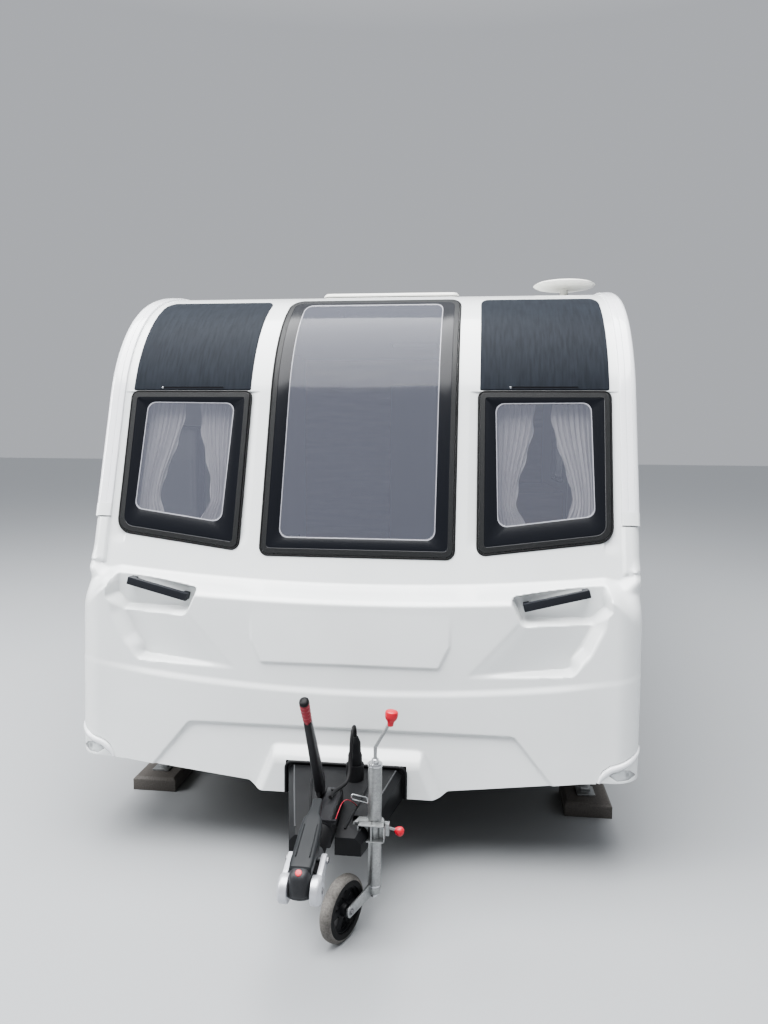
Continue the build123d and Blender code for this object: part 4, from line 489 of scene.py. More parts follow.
# front moulding: its faces, lines and recesses, in front view
moulding = {"side": 1.140, "foot": (-2.222, 0.250), "lean": 0.0411, "backY": -1.900, "topZ": 1.351,
            "shoulder": (-2.190, 1.044), "shoulderSlope": 2.273, "shoulderBow": 11.0,
            "creaseZ": 0.681, "creaseBow": 6.7, "creaseProud": 0.012, "creaseRise": 0.024,
            "cornerLow": 0.110, "cornerHigh": 0.040, "stripX": 1.071, "stripProud": 0.013,
            "step": [(-0.898, 0.250), (0.898, 0.250), (0.650, 0.551), (-0.650, 0.551)],
            "plate": [(-0.357, 0.795), (0.357, 0.795), (0.402, 0.890), (0.402, 1.010), (-0.402, 1.010),
                      (-0.402, 0.890)],
            "pocket": [(0.672, 0.975), (0.950, 0.985), (1.010, 1.040), (1.004, 1.150), (0.622, 1.082)],
            "pocketY": -2.098,
            "wedge": [(0.452, 0.764), (0.868, 0.789), (0.938, 0.866), (0.990, 0.975), (1.006, 1.085), (0.900, 1.070),
                      (0.672, 1.010)],
            "wedgeRadii": [0.010, 0.040, 0.100, 0.100, 0.020, 0.020, 0.020],
            "wedgePlane": [(0.452, -2.2045, 0.764), (0.655, -2.194, 1.000), (0.868, -2.138, 0.789)],
            "hood": [(-0.408, 0.205), (0.408, 0.205), (0.300, 0.474), (-0.300, 0.474)], "hoodY": -2.264,
            "mouth": (0.239, 0.426),
            "skirt": [(0, 0.296), (0.372, 0.296), (0.398, 0.320), (0.908, 0.378), (0.966, 0.381), (0.9661, 0.382),
                      (0.986, 0.432), (1.015, 0.454), (1.064, 0.469), (1.112, 0.490), (1.140, 0.503)],
            "skirtBack": 0.388, "lampBackY": -2.038}


def frontFace(x, z):
    m = moulding
    ax = np.abs(x)
    y = m["foot"][0] + (z - m["foot"][1]) * m["lean"]
    creaseZ = m["creaseZ"] + m["creaseBow"] - np.sqrt(m["creaseBow"] ** 2 - x ** 2)
    fade = 1 - smoothStep((ax - 0.78) / 0.26)
    step = np.clip((creaseZ + m["creaseRise"] - z) / m["creaseRise"], 0, 1)
    y = y - m["creaseProud"] * (step + (smoothStep(step) - step) * 0.6) * (0.25 + 0.75 * fade)
    # ledge under the crease: the floor leans away from its head
    depth = 0.006 + 0.008 * np.clip((z - 0.330) / 0.221, 0, 1)
    inside = -signedDistance(roundedOutline(m["step"], [0.01, 0.01, 0.03, 0.03]), x, z)
    y = y + depth * smoothStep(inside / 0.009)
    # plate face between the recesses, proud at its foot
    inside = -signedDistance(roundedOutline(m["plate"], 0.012), x, z)
    y = y - 0.009 * np.clip((1.010 - z) / 0.215, 0, 1) * smoothStep(inside / 0.007)
    # hood over the drawbar
    inside = -signedDistance(roundedOutline(m["hood"], [0.01, 0.01, 0.035, 0.035]), x, z)
    bulge = 1 - (1 - np.clip(np.minimum(inside / 0.034, (0.474 - z) / 0.060), 0, 1)) ** 1.7
    y = y + (np.minimum(m["hoodY"] - y, 0)) * bulge
    # shoulder and the raked face above it
    around = smoothStep((ax - 0.99) / 0.13)  # the shoulder grows long and gentle round the corner
    edge = m["shoulder"][1] + m["shoulderBow"] - np.sqrt(m["shoulderBow"] ** 2 - x ** 2) - 0.085 * around
    ramp = m["shoulder"][0] + (z - edge) * (m["shoulderSlope"] * (1 - around) + 0.80 * around)
    upper = profile["foot"][0] + (np.maximum(z, 1.0) - profile["foot"][1]) * math.tan(math.radians(profile["lean"]))
    y = softMin(softMax(y, ramp, 0.026), upper, 0.016)
    # wedge and pocket behind each handle
    a, b, c = (Vector(p) for p in m["wedgePlane"])
    normal = (b - a).cross(c - a)
    plane = a.y - ((ax - a.x) * normal.x + (z - a.z) * normal.z) / normal.y
    inside = -signedDistance(roundedOutline(m["wedge"], m["wedgeRadii"]), ax, z)
    wide = 0.020 + 0.034 * smoothStep((ax - 0.80) / 0.10) * smoothStep((z - 0.800) / 0.05)
    y = y + (softMax(y, plane, 0.010) - y) * smoothStep((inside + 0.002) / wide)
    inside = -signedDistance(roundedOutline(m["pocket"], [0.030, 0.030, 0.020, 0.030, 0.022]), ax, z)
    y = y + (softMax(y, np.full_like(y, m["pocketY"]), 0.006) - y) * smoothStep((inside + 0.002) / 0.019)
    # tilted strips beside the side panes
    y = y + pillarFacet(ax, z)
    # raised corner strip above the shoulder
    shoulderTop = edge + 0.052 + 0.100 * around
    y = y - m["stripProud"] * smoothStep((ax - m["stripX"]) / 0.006) * smoothStep((z - shoulderTop) / 0.012)
    return y


def pillarFacet(ax, z):
    rise = smoothStep((z - 1.235) / 0.05) * (1 - smoothStep((z - 1.892) / 0.004))
    inner = np.clip((ax - 0.455) / 0.043, 0, 1) * (ax < 0.520)
    outer = np.clip((1.072 - ax) / 0.040, 0, 1) * (ax > 1.000)
    return 0.009 * rise * (inner + 0.8 * outer)


def mouldingGrid():
    m = moulding
    inner = m["side"] - m["cornerLow"]
    columns = np.concatenate([np.arange(0, 0.228, 0.0078), [0.239], np.arange(0.2455, 0.42, 0.0062),
                              np.arange(0.425, 0.60, 0.0075), np.arange(0.604, inner - 0.002, 0.0048), [inner]])
    corner, side = np.linspace(0, 1, 25)[1:], np.linspace(0, 1, 8)[1:]
    rows = np.concatenate([np.arange(0.296, 0.42, 0.0062), [0.426], np.arange(0.432, 0.52, 0.0066),
                           np.arange(0.524, 0.57, 0.0042), np.arange(0.574, 0.672, 0.0085),
                           np.arange(0.676, 0.755, 0.0052), np.arange(0.760, 0.965, 0.0054),
                           np.arange(0.968, 1.165, 0.0046), np.arange(1.170, 1.348, 0.0085), [m["topZ"]]])
    skirtX, skirtZ = np.array(m["skirt"]).T
    stations = []  # kind, x, set-back or share, and height of every column, from the middle to the back edge
    for x in columns:
        z = np.maximum(rows, np.interp(x, skirtX, skirtZ))
        stations.append(("front", np.full_like(z, x), 0.0, z))
    radius = m["cornerLow"] - (m["cornerLow"] - m["cornerHigh"]) * smoothStep((rows - 1.090) / 0.06)
    for t in corner:
        # straight, arc and straight again, taken as one run
        flat, arc = m["cornerLow"] - radius, radius * math.pi / 2
        run = t * (flat + arc)
        angle = np.clip((run - flat) / radius, 0, math.pi / 2)
        x = inner + np.minimum(run, flat) + radius * np.sin(angle)
        z = np.maximum(rows, np.interp(x, skirtX, skirtZ))
        stations.append(("corner", x, radius * (1 - np.cos(angle)), z))
    for t in side:
        stations.append(("side", np.full_like(rows, m["side"]), t, rows))
    for t in (0.0, 0.25, 0.5, 0.75, 1.0):
        stations.append(("back", np.full_like(rows, m["side"]), t, rows))
    verts = []
    for kind, x, back, z in stations:
        if kind in ("front", "corner"):
            y = frontFace(np.minimum(x, m["side"] - 0.001), z) + back
        else:
            face = frontFace(np.full_like(z, m["side"] - 0.001), z) + radius
            middle = np.where(rows < 0.503, m["lampBackY"], face + 0.4 * (m["backY"] - face))
            if kind == "side":
                y = face + back * (middle - face)
                z = np.maximum(rows, 0.503)
            else:
                y = middle + back * (m["backY"] - middle)
                z = np.maximum(rows, m["skirtBack"])
        verts.append(np.stack([x, y, z], axis=-1))
    verts = np.array(verts)
    left = verts[:0:-1] * np.array([-1, 1, 1])
    return np.concatenate([left, verts])


def gridFaces(verts, keep):
    # quads of a column and row grid, points that fall together are shared
    wide, high = verts.shape[:2]
    flat = verts.reshape(-1, 3)
    faces = []
    for i in range(wide - 1):
        for j in range(high - 1):
            if not keep[i, j]:
                continue
            a, b, c, d = i * high + j, (i + 1) * high + j, (i + 1) * high + j + 1, i * high + j + 1
            faces.append((a, b, c, d))
    return flat, faces


def cleanMesh(name, flat, faces, near=1e-5):
    mesh = bpy.data.meshes.new(name)
    mesh.from_pydata([tuple(p) for p in flat], [], faces)
    bm = bmesh.new()
    bm.from_mesh(mesh)
    bmesh.ops.remove_doubles(bm, verts=bm.verts, dist=near)
    bmesh.ops.dissolve_degenerate(bm, dist=near, edges=bm.edges)
    thin = [f for f in bm.faces if f.calc_area() < 1e-9]
    bmesh.ops.delete(bm, geom=thin, context="FACES")
    bmesh.ops.delete(bm, geom=[v for v in bm.verts if not v.link_faces], context="VERTS")
    bm.to_mesh(mesh)
    bm.free()
    return mesh


def keepOutside(verts, outlines, grow):
    # cells that no window opening touches
    x, z = verts[..., 0], verts[..., 2]
    clear = np.ones(x.shape, bool)
    for outline in outlines:
        clear &= signedDistance(outline, x, z) > grow
    return clear[:-1, :-1] & clear[1:, :-1] & clear[1:, 1:] & clear[:-1, 1:]


def makeMoulding():
    verts = mouldingGrid()
    keep = keepOutside(verts, glassOutlines, 0.004)
    middle = (verts[:-1, :-1] + verts[1:, 1:]) / 2
    keep &= ~((np.abs(middle[..., 0]) < moulding["mouth"][0]) & (middle[..., 2] < moulding["mouth"][1]))
    mesh = cleanMesh("frontMoulding", *gridFaces(verts, keep))
    bm = bmesh.new()
    bm.from_mesh(mesh)
    # turned-in edges at the mouth and along the foot
    half, top = moulding["mouth"]
    rim = []
    for edge in bm.edges:
        if len(edge.link_faces) != 1:
            continue
        ends = [v.co for v in edge.verts]
        atMouth = all(abs(p.x) <= half + 1e-4 and p.z <= top + 1e-4 for p in ends)
        if atMouth or all(p.z < 0.505 and p.y < -1.95 for p in ends):
            rim.append(edge)
    made = bmesh.ops.extrude_edge_only(bm, edges=rim)["geom"]
    for vert in (v for v in made if isinstance(v, bmesh.types.BMVert)):
        deep = abs(vert.co.x) <= half + 1e-4 and vert.co.z <= top + 1e-4
        vert.co.y += 0.070 if deep else 0.018
    bmesh.ops.recalc_face_normals(bm, faces=bm.faces)
    bm.to_mesh(mesh)
    bm.free()
    piece = fromMesh("frontMoulding", mesh, "gelcoat", "caravan", 50.0)
    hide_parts("front_lower_panel")
    return piece


def makeUpperFront():
    # raked face over the seam: pillars, brow and the strips round the panes
    half = 1.098
    columns = np.concatenate([np.arange(0, 0.40, 0.04), [0.405, 0.440, 0.452, 0.455, 0.461, 0.470, 0.480, 0.490, 0.497],
                              [0.4981, 0.505, 0.5199, 0.5201], np.arange(0.54, 1.02, 0.04),
                              [1.024, 1.0321, 1.040, 1.050, 1.060, 1.068, 1.0719, 1.076, half]])
    columns = np.concatenate([-columns[:0:-1], columns])
    rows = np.concatenate([np.arange(1.351, 1.885, 0.012), [1.889, 1.892, 1.894, 1.896, 1.899],
                           frontRows[frontRows[:, 1] > 1.905, 1]])
    x, z = np.meshgrid(columns, rows, indexing="ij")
    verts = onFront(x, z, -pillarFacet(np.abs(x), z))
    mesh = cleanMesh("upperFront", *gridFaces(verts, keepOutside(verts, glassOutlines, 0.004)), near=2e-6)
    piece = fromMesh("upperFront", mesh, "gelcoat", "caravan", 30.0)
    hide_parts("front_upper_panel")
    return piece


def ringFaces(rings, closed=True):
    count = len(rings[0])
    verts = [p for ring in rings for p in ring]
    faces = []
    for r in range(len(rings) - 1):
        for k in range(count if closed else count - 1):
            a, b = r * count + k, r * count + (k + 1) % count
            faces.append((a, b, b + count, a + count))
    return verts, faces


def onFrontRing(outline, proud):
    xs, zs = np.array(outline).T
    return [tuple(p) for p in onFront(xs, zs, proud)]


def paneMesh(name, pane, radii, glass, divide, curved):
    # bevel with water beads whose lighter spots are painted glints, flat dark border, a pale line that is a painted
    # reflection of the inner edge, and the clear middle
    w = windows
    bands = [(0.0, 0.0005), (0.0005, 0.0060), (0.0030, w["proud"]), (w["rim"], w["proud"] + 0.0006),
             (w["rim"] + 0.0015, w["proud"] - 0.0006)]
    rings = []
    for distance, proud in bands:
        inner = insetOutline(pane, distance)
        rings.append(onFrontRing(roundedOutline(inner, [max(r - distance * 0.6, 0.010) for r in radii], 6, divide),
                                 proud))
    edge = w["proud"] - 0.0006
    for distance, proud in ((0.0, edge), (0.0012, edge - 0.0006), (0.0042, edge - 0.0006), (0.0052, edge - 0.0016)):
        inner = insetOutline(glass, distance)
        rings.append(onFrontRing(roundedOutline(inner, w["glassRadius"], 6, divide), proud))
    verts, faces = ringFaces(rings)
    slots = []
    count = len(rings[0])
    for r in range(len(rings) - 1):
        slots += [{0: 1, 1: 0, 2: 0, 3: 1, 4: 1, 5: 2, 6: 2, 7: 3}[r]] * count
    last = (len(rings) - 1) * count
    if curved:
        # pairs of points at one height, foot first
        right = sorted((k for k in range(count) if verts[last + k][0] > 0), key=lambda k: verts[last + k][2])
        left = sorted((k for k in range(count) if verts[last + k][0] < 0), key=lambda k: verts[last + k][2])
        for a, b in zip(range(len(right) - 1), range(1, len(right))):
            faces.append((last + left[a], last + right[a], last + right[b], last + left[b]))
            slots.append(3)
    else:
        faces.append(tuple(last + k for k in range(count)))
        slots.append(3)
    mesh = bpy.data.meshes.new(name)
    mesh.from_pydata(verts, [], faces)
    mesh.polygons.foreach_set("material_index", slots)
    return mesh


def makeFrontWindows():
    w = windows
    paints4 = ["rimBeadsAndPaintedGlints", "blackGloss", "paneEdgeReflection", "smokedAcrylic"]
    parts = [("centrePane", w["centrePane"], w["centreRadii"], w["centreGlass"], [1, 24, 1, 24], True),
             ("sidePaneNear", w["sidePane"], w["sideRadii"], w["sideGlass"], [1, 1, 1, 1], False)]
    offSide = [w["sideRadii"][k] for k in (3, 2, 1, 0)]
    parts.append(("sidePaneOff", mirrorOutline(w["sidePane"]), offSide, mirrorOutline(w["sideGlass"]), [1, 1, 1, 1],
                  False))
    pieces = []
    for name, pane, radii, glass, divide, curved in parts:
        piece = fromMesh(name, paneMesh(name, pane, radii, glass, divide, curved), paints4, "caravan", 30.0)
        pieces.append(piece)
        rings = []
        for distance, proud in ((-w["seal"], 0.0003), (-w["seal"] + 0.001, 0.0035), (-0.005, 0.0055),
                                (-0.0015, 0.0045), (-0.0003, 0.0004)):
            outer = insetOutline(pane, distance)
            rings.append(onFrontRing(roundedOutline(outer, [r - distance for r in radii], 6, divide), proud))
        seal = newPiece(name + "Seal", *ringFaces(rings), "rubber", "caravan")
        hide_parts("front_window_seals")
    for piece in pieces:
        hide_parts("front_window_panes")
    for side in (1, -1):
        outline, radii = w["infill"], w["infillRadii"]
        if side < 0:
            outline, radii = mirrorOutline(outline), [radii[k] for k in (3, 2, 1, 0)]
        divide = [1, 10, 1, 10]
        rings = [onFrontRing(roundedOutline(insetOutline(outline, d), [max(r - d, 0.004) for r in radii], 5, divide), p)
                 for d, p in ((0.0, 0.0), (0.0003, 0.0028), (0.0022, 0.0042), (0.0060, 0.0044))]
        verts, faces = ringFaces(rings)
        count, last = len(rings[0]), 3 * len(rings[0])
        middle = sum(outline[k][0] for k in range(4)) / 4
        right = sorted((k for k in range(count) if verts[last + k][0] > middle), key=lambda k: verts[last + k][2])
        left = sorted((k for k in range(count) if verts[last + k][0] < middle), key=lambda k: verts[last + k][2])
        for a in range(len(right) - 1):
            faces.append((last + left[a], last + right[a], last + right[a + 1], last + left[a + 1]))
        infill = newPiece("infill" + ("Near" if side > 0 else "Off"), verts, faces, "infillSlate", "caravan", 30.0)
        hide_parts("front_window_borders")
        infillSlot(side)


def infillSlot(side):
    # a groove with raised lips, its floor painted near black as shade, and one bright screw at its inner end
    x0, x1, z0, z1 = windows["slot"]
    outline = [(x0, z0), (x1, z0), (x1, z1), (x0, z1)]
    if side < 0:
        outline = mirrorOutline(outline)
    rings = [onFrontRing(roundedOutline(insetOutline(outline, d), max(0.0034 - d, 0.0006), 5), p)
             for d, p in ((-0.0030, 0.0043), (-0.0022, 0.0054), (-0.0006, 0.0054), (0.0, 0.0046))]
    verts, faces = ringFaces(rings)
    count = len(rings[0])
    slots = [0] * len(faces) + [1]
    faces.append(tuple(3 * count + k for k in range(count)))
    mesh = bpy.data.meshes.new("infillSlot")
    mesh.from_pydata(verts, [], faces)
    mesh.polygons.foreach_set("material_index", slots)
    fromMesh("infillSlot" + ("Near" if side > 0 else "Off"), mesh, ["infillSlate", "slotPaintedShade"], "caravan", 30.0)
    centre = onFront(np.array(x0 + 0.004 if side > 0 else -x0 - 0.276), np.array((z0 + z1) / 2), 0.0052)
    rings = []
    for radius, proud in ((0.0050, 0.0), (0.0046, 0.0016), (0.0030, 0.0024), (0.0012, 0.0025)):
        ring = []
        for k in range(12):
            a = k * math.pi / 6
            ring.append((centre[0] + radius * math.cos(a), centre[1] - proud, centre[2] + radius * math.sin(a)))
        rings.append(ring)
    verts, faces = ringFaces(rings)
    faces.append(tuple(3 * 12 + k for k in range(12)))
    newPiece("slotScrew" + ("Near" if side > 0 else "Off"), verts, faces, "brightSteel", "caravan")


makeMoulding()
makeUpperFront()
makeFrontWindows()
print("front moulding and windows")


# grab handles in the recesses, with worn square ends
handles = {"ends": ((0.933, 1.104), (0.681, 1.039)), "front": -2.150, "back": -2.122, "half": 0.0160, "post": 0.028,
           "floor": -2.097}


def makeHandles(spec):
    (xa, za), (xb, zb) = spec["ends"]
    way = Vector((xb - xa, 0, zb - za))
    length = way.length
    for side in (1, -1):
        start = Vector((side * xa, spec["front"], za))
        along = Vector((side * way.x, 0, way.z)).normalized()
        outline = [(0, -spec["half"]), (length, -spec["half"]), (length, spec["half"]), (0, spec["half"])]
        if side < 0:
            outline = [(a, -b) for a, b in reversed(outline)]
        bar = plate("handleBar", outline, start, along, Vector((0, -1, 0)).cross(along), spec["front"] - spec["back"],
                    "handleRough", "caravan", 0.004)
        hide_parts("grab_handles")
        for offset in (0.0, length - spec["post"]):
            foot = [(offset + a, b * 0.94) for a, b in ((0.002, -spec["half"]), (spec["post"] - 0.002, -spec["half"]),
                                                        (spec["post"] - 0.002, spec["half"]), (0.002, spec["half"]))]
            plate("handlePost", foot, (start.x, spec["back"] - 0.002, start.z), along, Vector((0, -1, 0)).cross(along),
                  spec["back"] - spec["floor"], "handleRough", "caravan", 0.002)


# corner trims: one section swept over the front, the roof and the rear, with an insert strip
trim = {"section": [(1.0700, -0.0002), (1.0703, 0.0066), (1.0722, 0.0092), (1.0760, 0.0102), (1.0935, 0.0104),
                    (1.0948, 0.0082), (1.0962, 0.0104), (1.1080, 0.0116), (1.1200, 0.0112), (1.1215, 0.0088),
                    (1.1230, 0.0102), (1.1300, 0.0086), (1.1358, 0.0050), (1.1392, 0.0000), (1.1402, -0.0080),
                    (1.1400, -0.0450), (1.1285, -0.0452)],
        "capTop": 1.405, "capSection": [(1.0695, -0.0002), (1.0698, 0.0080), (1.0720, 0.0112), (1.0770, 0.0122),
                                        (1.1020, 0.0132), (1.1200, 0.0128), (1.1330, 0.0092), (1.1396, 0.0020),
                                        (1.1412, -0.0080), (1.1410, -0.0460), (1.1285, -0.0460)]}


def sweep(name, section, rows, side, paint):
    rings = []
    for y, z, ny, nz in rows:
        rings.append([(side * x, y + ny * h, z + nz * h) for x, h in section])
    verts, faces = ringFaces(rings, closed=False)
    ends = [tuple(range(len(section)))[::-1], tuple(len(verts) - len(section) + k for k in range(len(section)))]
    faces += ends
    if side < 0:
        faces = [f[::-1] for f in faces]
    return newPiece(name, verts, faces, paint, "caravan", 30.0)


for side, label in ((1, "Near"), (-1, "Off")):
    overSeam = profileRows[(profileRows[:, 1] > 1.352) | (profileRows[:, 0] > 0)]
    rail = sweep("cornerTrim" + label, trim["section"], overSeam, side, "trimPaint")
    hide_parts("awning_rails")
    capRows = [(*onFront(np.array(0.0), np.array(z))[1:], -math.cos(math.radians(17.2)),
                math.sin(math.radians(17.2))) for z in (1.353, 1.356, 1.380, trim["capTop"] - 0.003, trim["capTop"])]
    sweep("trimCap" + label, trim["capSection"], capRows, side, "gelcoat")
print("corner trims")


# shapes built from rings and plates
def solidPiece(name, verts, faces, paint, body, angle=35.0, slots=None, bevel=0.0):
    bm = bmesh.new()
    points = [bm.verts.new(v) for v in verts]
    for k, face in enumerate(faces):
        made = bm.faces.new([points[i] for i in face])
        made.material_index = slots[k] if slots else 0
    bmesh.ops.remove_doubles(bm, verts=bm.verts, dist=1e-6)
    bmesh.ops.recalc_face_normals(bm, faces=bm.faces)
    if bevel:
        sharp = [e for e in bm.edges if len(e.link_faces) == 2 and e.calc_face_angle(0.0) > math.radians(40)]
        bmesh.ops.bevel(bm, geom=sharp, offset=bevel, offset_type="OFFSET", segments=2, profile=0.6, affect="EDGES",
                        clamp_overlap=True)
    mesh = bpy.data.meshes.new(name)
    bm.to_mesh(mesh)
    bm.free()
    return fromMesh(name, mesh, paint, body, angle)


def lofted(name, rings, paint, body, angle=35.0, bandSlots=None):
    verts, faces = ringFaces(rings)
    count = len(rings[0])
    slots = [bandSlots[k // count] if bandSlots else 0 for k in range(len(faces))]
    faces += [tuple(range(count)), tuple(len(verts) - count + k for k in range(count))]
    slots += [slots[0], slots[-1]]
    return solidPiece(name, verts, faces, paint, body, angle, slots)


def lathe(name, start, way, rows, paint, body, segments=32, angle=35.0, bandSlots=None):
    # rows are the distance along the axis and the radius there
    way = Vector(way).normalized()
    u = way.orthogonal().normalized()
    v = way.cross(u)
    rings = []
    for along, radius in rows:
        centre = Vector(start) + way * along
        rings.append([tuple(centre + (u * math.cos(2 * math.pi * k / segments) +
                                      v * math.sin(2 * math.pi * k / segments)) * radius) for k in range(segments)])
    return lofted(name, rings, paint, body, angle, bandSlots)


def plate(name, outline, origin, across, up, thick, paint, body, bevel=0.0008):
    # a flat outline given along two directions, thickened on its right-hand side
    across, up = Vector(across).normalized(), Vector(up).normalized()
    out = across.cross(up) * thick
    low = [Vector(origin) + across * a + up * b for a, b in outline]
    count = len(low)
    verts = [tuple(p) for p in low] + [tuple(p + out) for p in low]
    faces = [tuple(range(count)), tuple(range(count, 2 * count))]
    faces += [(k, (k + 1) % count, (k + 1) % count + count, k + count) for k in range(count)]
    return solidPiece(name, verts, faces, paint, body, 35.0, None, bevel)


def brick(name, low, high, paint, body, bevel=0.0015):
    (x0, y0, z0), (x1, y1, z1) = low, high
    outline = [(0, 0), (x1 - x0, 0), (x1 - x0, y1 - y0), (0, y1 - y0)]
    return plate(name, outline, (x0, y0, z0), (1, 0, 0), (0, 1, 0), z1 - z0, paint, body, bevel)


def ovalRing(centre, across, up, halfA, halfB, power=2.6, segments=28):
    # a rounded box section
    ring = []
    for k in range(segments):
        a = 2 * math.pi * (k + 0.5) / segments
        c, s = math.cos(a), math.sin(a)
        ring.append(tuple(centre + across * (halfA * math.copysign(abs(c) ** (2 / power), c)) +
                          up * (halfB * math.copysign(abs(s) ** (2 / power), s))))
    return ring


def tube(name, points, radius, paint, body, segments=14):
    # a bent rod through given points
    points = [Vector(p) for p in points]
    rings = []
    turn = None
    for i, here in enumerate(points):
        way = (points[min(i + 1, len(points) - 1)] - points[max(i - 1, 0)]).normalized()
        turn = (turn - way * turn.dot(way)).normalized() if turn else way.orthogonal().normalized()
        other = way.cross(turn)
        reach = radius[i] if isinstance(radius, (list, tuple)) else radius
        rings.append([tuple(here + (turn * math.cos(2 * math.pi * k / segments) +
                                    other * math.sin(2 * math.pi * k / segments)) * reach) for k in range(segments)])
    return lofted(name, rings, paint, body)


# handbrake: channel lever with a ribbed grip
handbrake = {"foot": (-0.043, -2.540, 0.446), "top": (-0.043, -2.815, 0.862), "leverEnd": 0.80,
             "halfWidth": (0.0165, 0.0125), "halfDepth": (0.0290, 0.0135), "gripRadius": 0.0145, "ribs": 5}


def makeHandbrake(spec):
    foot, top = Vector(spec["foot"]), Vector(spec["top"])
    way = (top - foot).normalized()
    across = Vector((1, 0, 0))
    up = across.cross(way)
    rings = []
    for k in range(13):
        t = 0.06 + (spec["leverEnd"] - 0.06) * k / 12
        share = k / 12
        halfA = spec["halfWidth"][0] * (1 - share) + spec["halfWidth"][1] * share
        halfB = spec["halfDepth"][0] * (1 - share) + spec["halfDepth"][1] * share
        centre = foot + (top - foot) * t
        rings.append(ovalRing(centre, across, up, halfA, halfB, 5.0))
    lofted("leverChannel", rings, "blackPaint", "caravan")
    # worn bright edge of the channel
    edge = []
    for t in (0.10, 0.30, 0.55, 0.78):
        share = (t - 0.06) / (spec["leverEnd"] - 0.06)
        halfA = spec["halfWidth"][0] * (1 - share) + spec["halfWidth"][1] * share
        halfB = spec["halfDepth"][0] * (1 - share) + spec["halfDepth"][1] * share
        edge.append(foot + (top - foot) * t + across * (halfA - 0.001) + up * (-halfB * 0.2))
    tube("leverEdge", edge, 0.0028, "wornSteel", "caravan", 8)
    # grip with finger ribs and a dark end
    rings, bands = [], []
    length = (top - foot).length * (1.0 - spec["leverEnd"]) + 0.012
    start = foot + (top - foot) * (spec["leverEnd"] - 0.015)
    steps = 40
    for k in range(steps + 1):
        t = k / steps
        wave = 0.0011 * math.cos(2 * math.pi * spec["ribs"] * min(t / 0.84, 1.0))
        radius = spec["gripRadius"] * (0.90 + 0.2 * t) + (wave if t < 0.84 else 0.0)
        if t > 0.93:
            radius *= math.sqrt(max(1 - ((t - 0.93) / 0.075) ** 2, 0.02))
        if t < 0.04:
            radius *= 0.8 + 5 * t
        rings.append(ovalRing(start + way * (length * t), across, up, radius, radius * 1.12, 2.3))
        if k < steps:
            bands.append(1 if t > 0.85 else 0)
    grip = lofted("brakeGrip", rings, ["gripRed", "blackPlastic"], "caravan", 35.0, bands)
    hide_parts("red_grips")


makeHandbrake(handbrake)
makeHandles(handles)

# knobs, and the place of the button on the head
knobs = {"crankEnd": (0.2090, -2.593, 0.7110), "crankWay": (0.10, 0.0, 1.0),
         "clampEnd": (0.231, -2.5948, 0.3423), "clampWay": (0.95, 0.04, -0.32), "button": (0.0, -3.0815, 0.4500)}
crankKnob = lathe("crankKnob", knobs["crankEnd"], knobs["crankWay"],
                  [(0.0, 0.0085), (0.002, 0.0105), (0.014, 0.0115), (0.020, 0.0150), (0.026, 0.0200), (0.034, 0.0222),
                   (0.046, 0.0228), (0.051, 0.0216), (0.054, 0.0180), (0.0555, 0.0110), (0.056, 0.0020)],
                  "redPlastic", "caravan")
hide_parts("red_grips")
clampKnob = lathe("clampKnob", knobs["clampEnd"], knobs["clampWay"],
                  [(-0.003, 0.0075), (0.0, 0.0090), (0.004, 0.0128), (0.009, 0.0156), (0.015, 0.0168),
                   (0.021, 0.0160), (0.026, 0.0130), (0.0295, 0.0080), (0.0305, 0.0015)], "redPlastic",
                  "caravan")
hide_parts("red_grips")

# coupling head front, lift handle and friction pads
coupling = {"handleRows": [(-3.067, 0.0280, 0.432, 0.452), (-3.062, 0.0330, 0.430, 0.459),
                           (-3.046, 0.0350, 0.430, 0.465),
                           (-2.975, 0.0350, 0.440, 0.487), (-2.905, 0.0335, 0.462, 0.510),
                           (-2.884, 0.0300, 0.472, 0.518), (-2.866, 0.0190, 0.486, 0.524),
                           (-2.845, 0.0165, 0.498, 0.530), (-2.806, 0.0155, 0.512, 0.541),
                           (-2.797, 0.0120, 0.517, 0.538)],
            "nose": {"centre": (0.0, -3.060, 0.412), "half": (0.0325, 0.038, 0.044)},
            "pad": (-3.056, 0.386), "padInner": 0.0335, "rearPin": (-2.960, 0.425), "armX": 0.0425,
            "armThick": 0.0165, "nutX": 0.058}


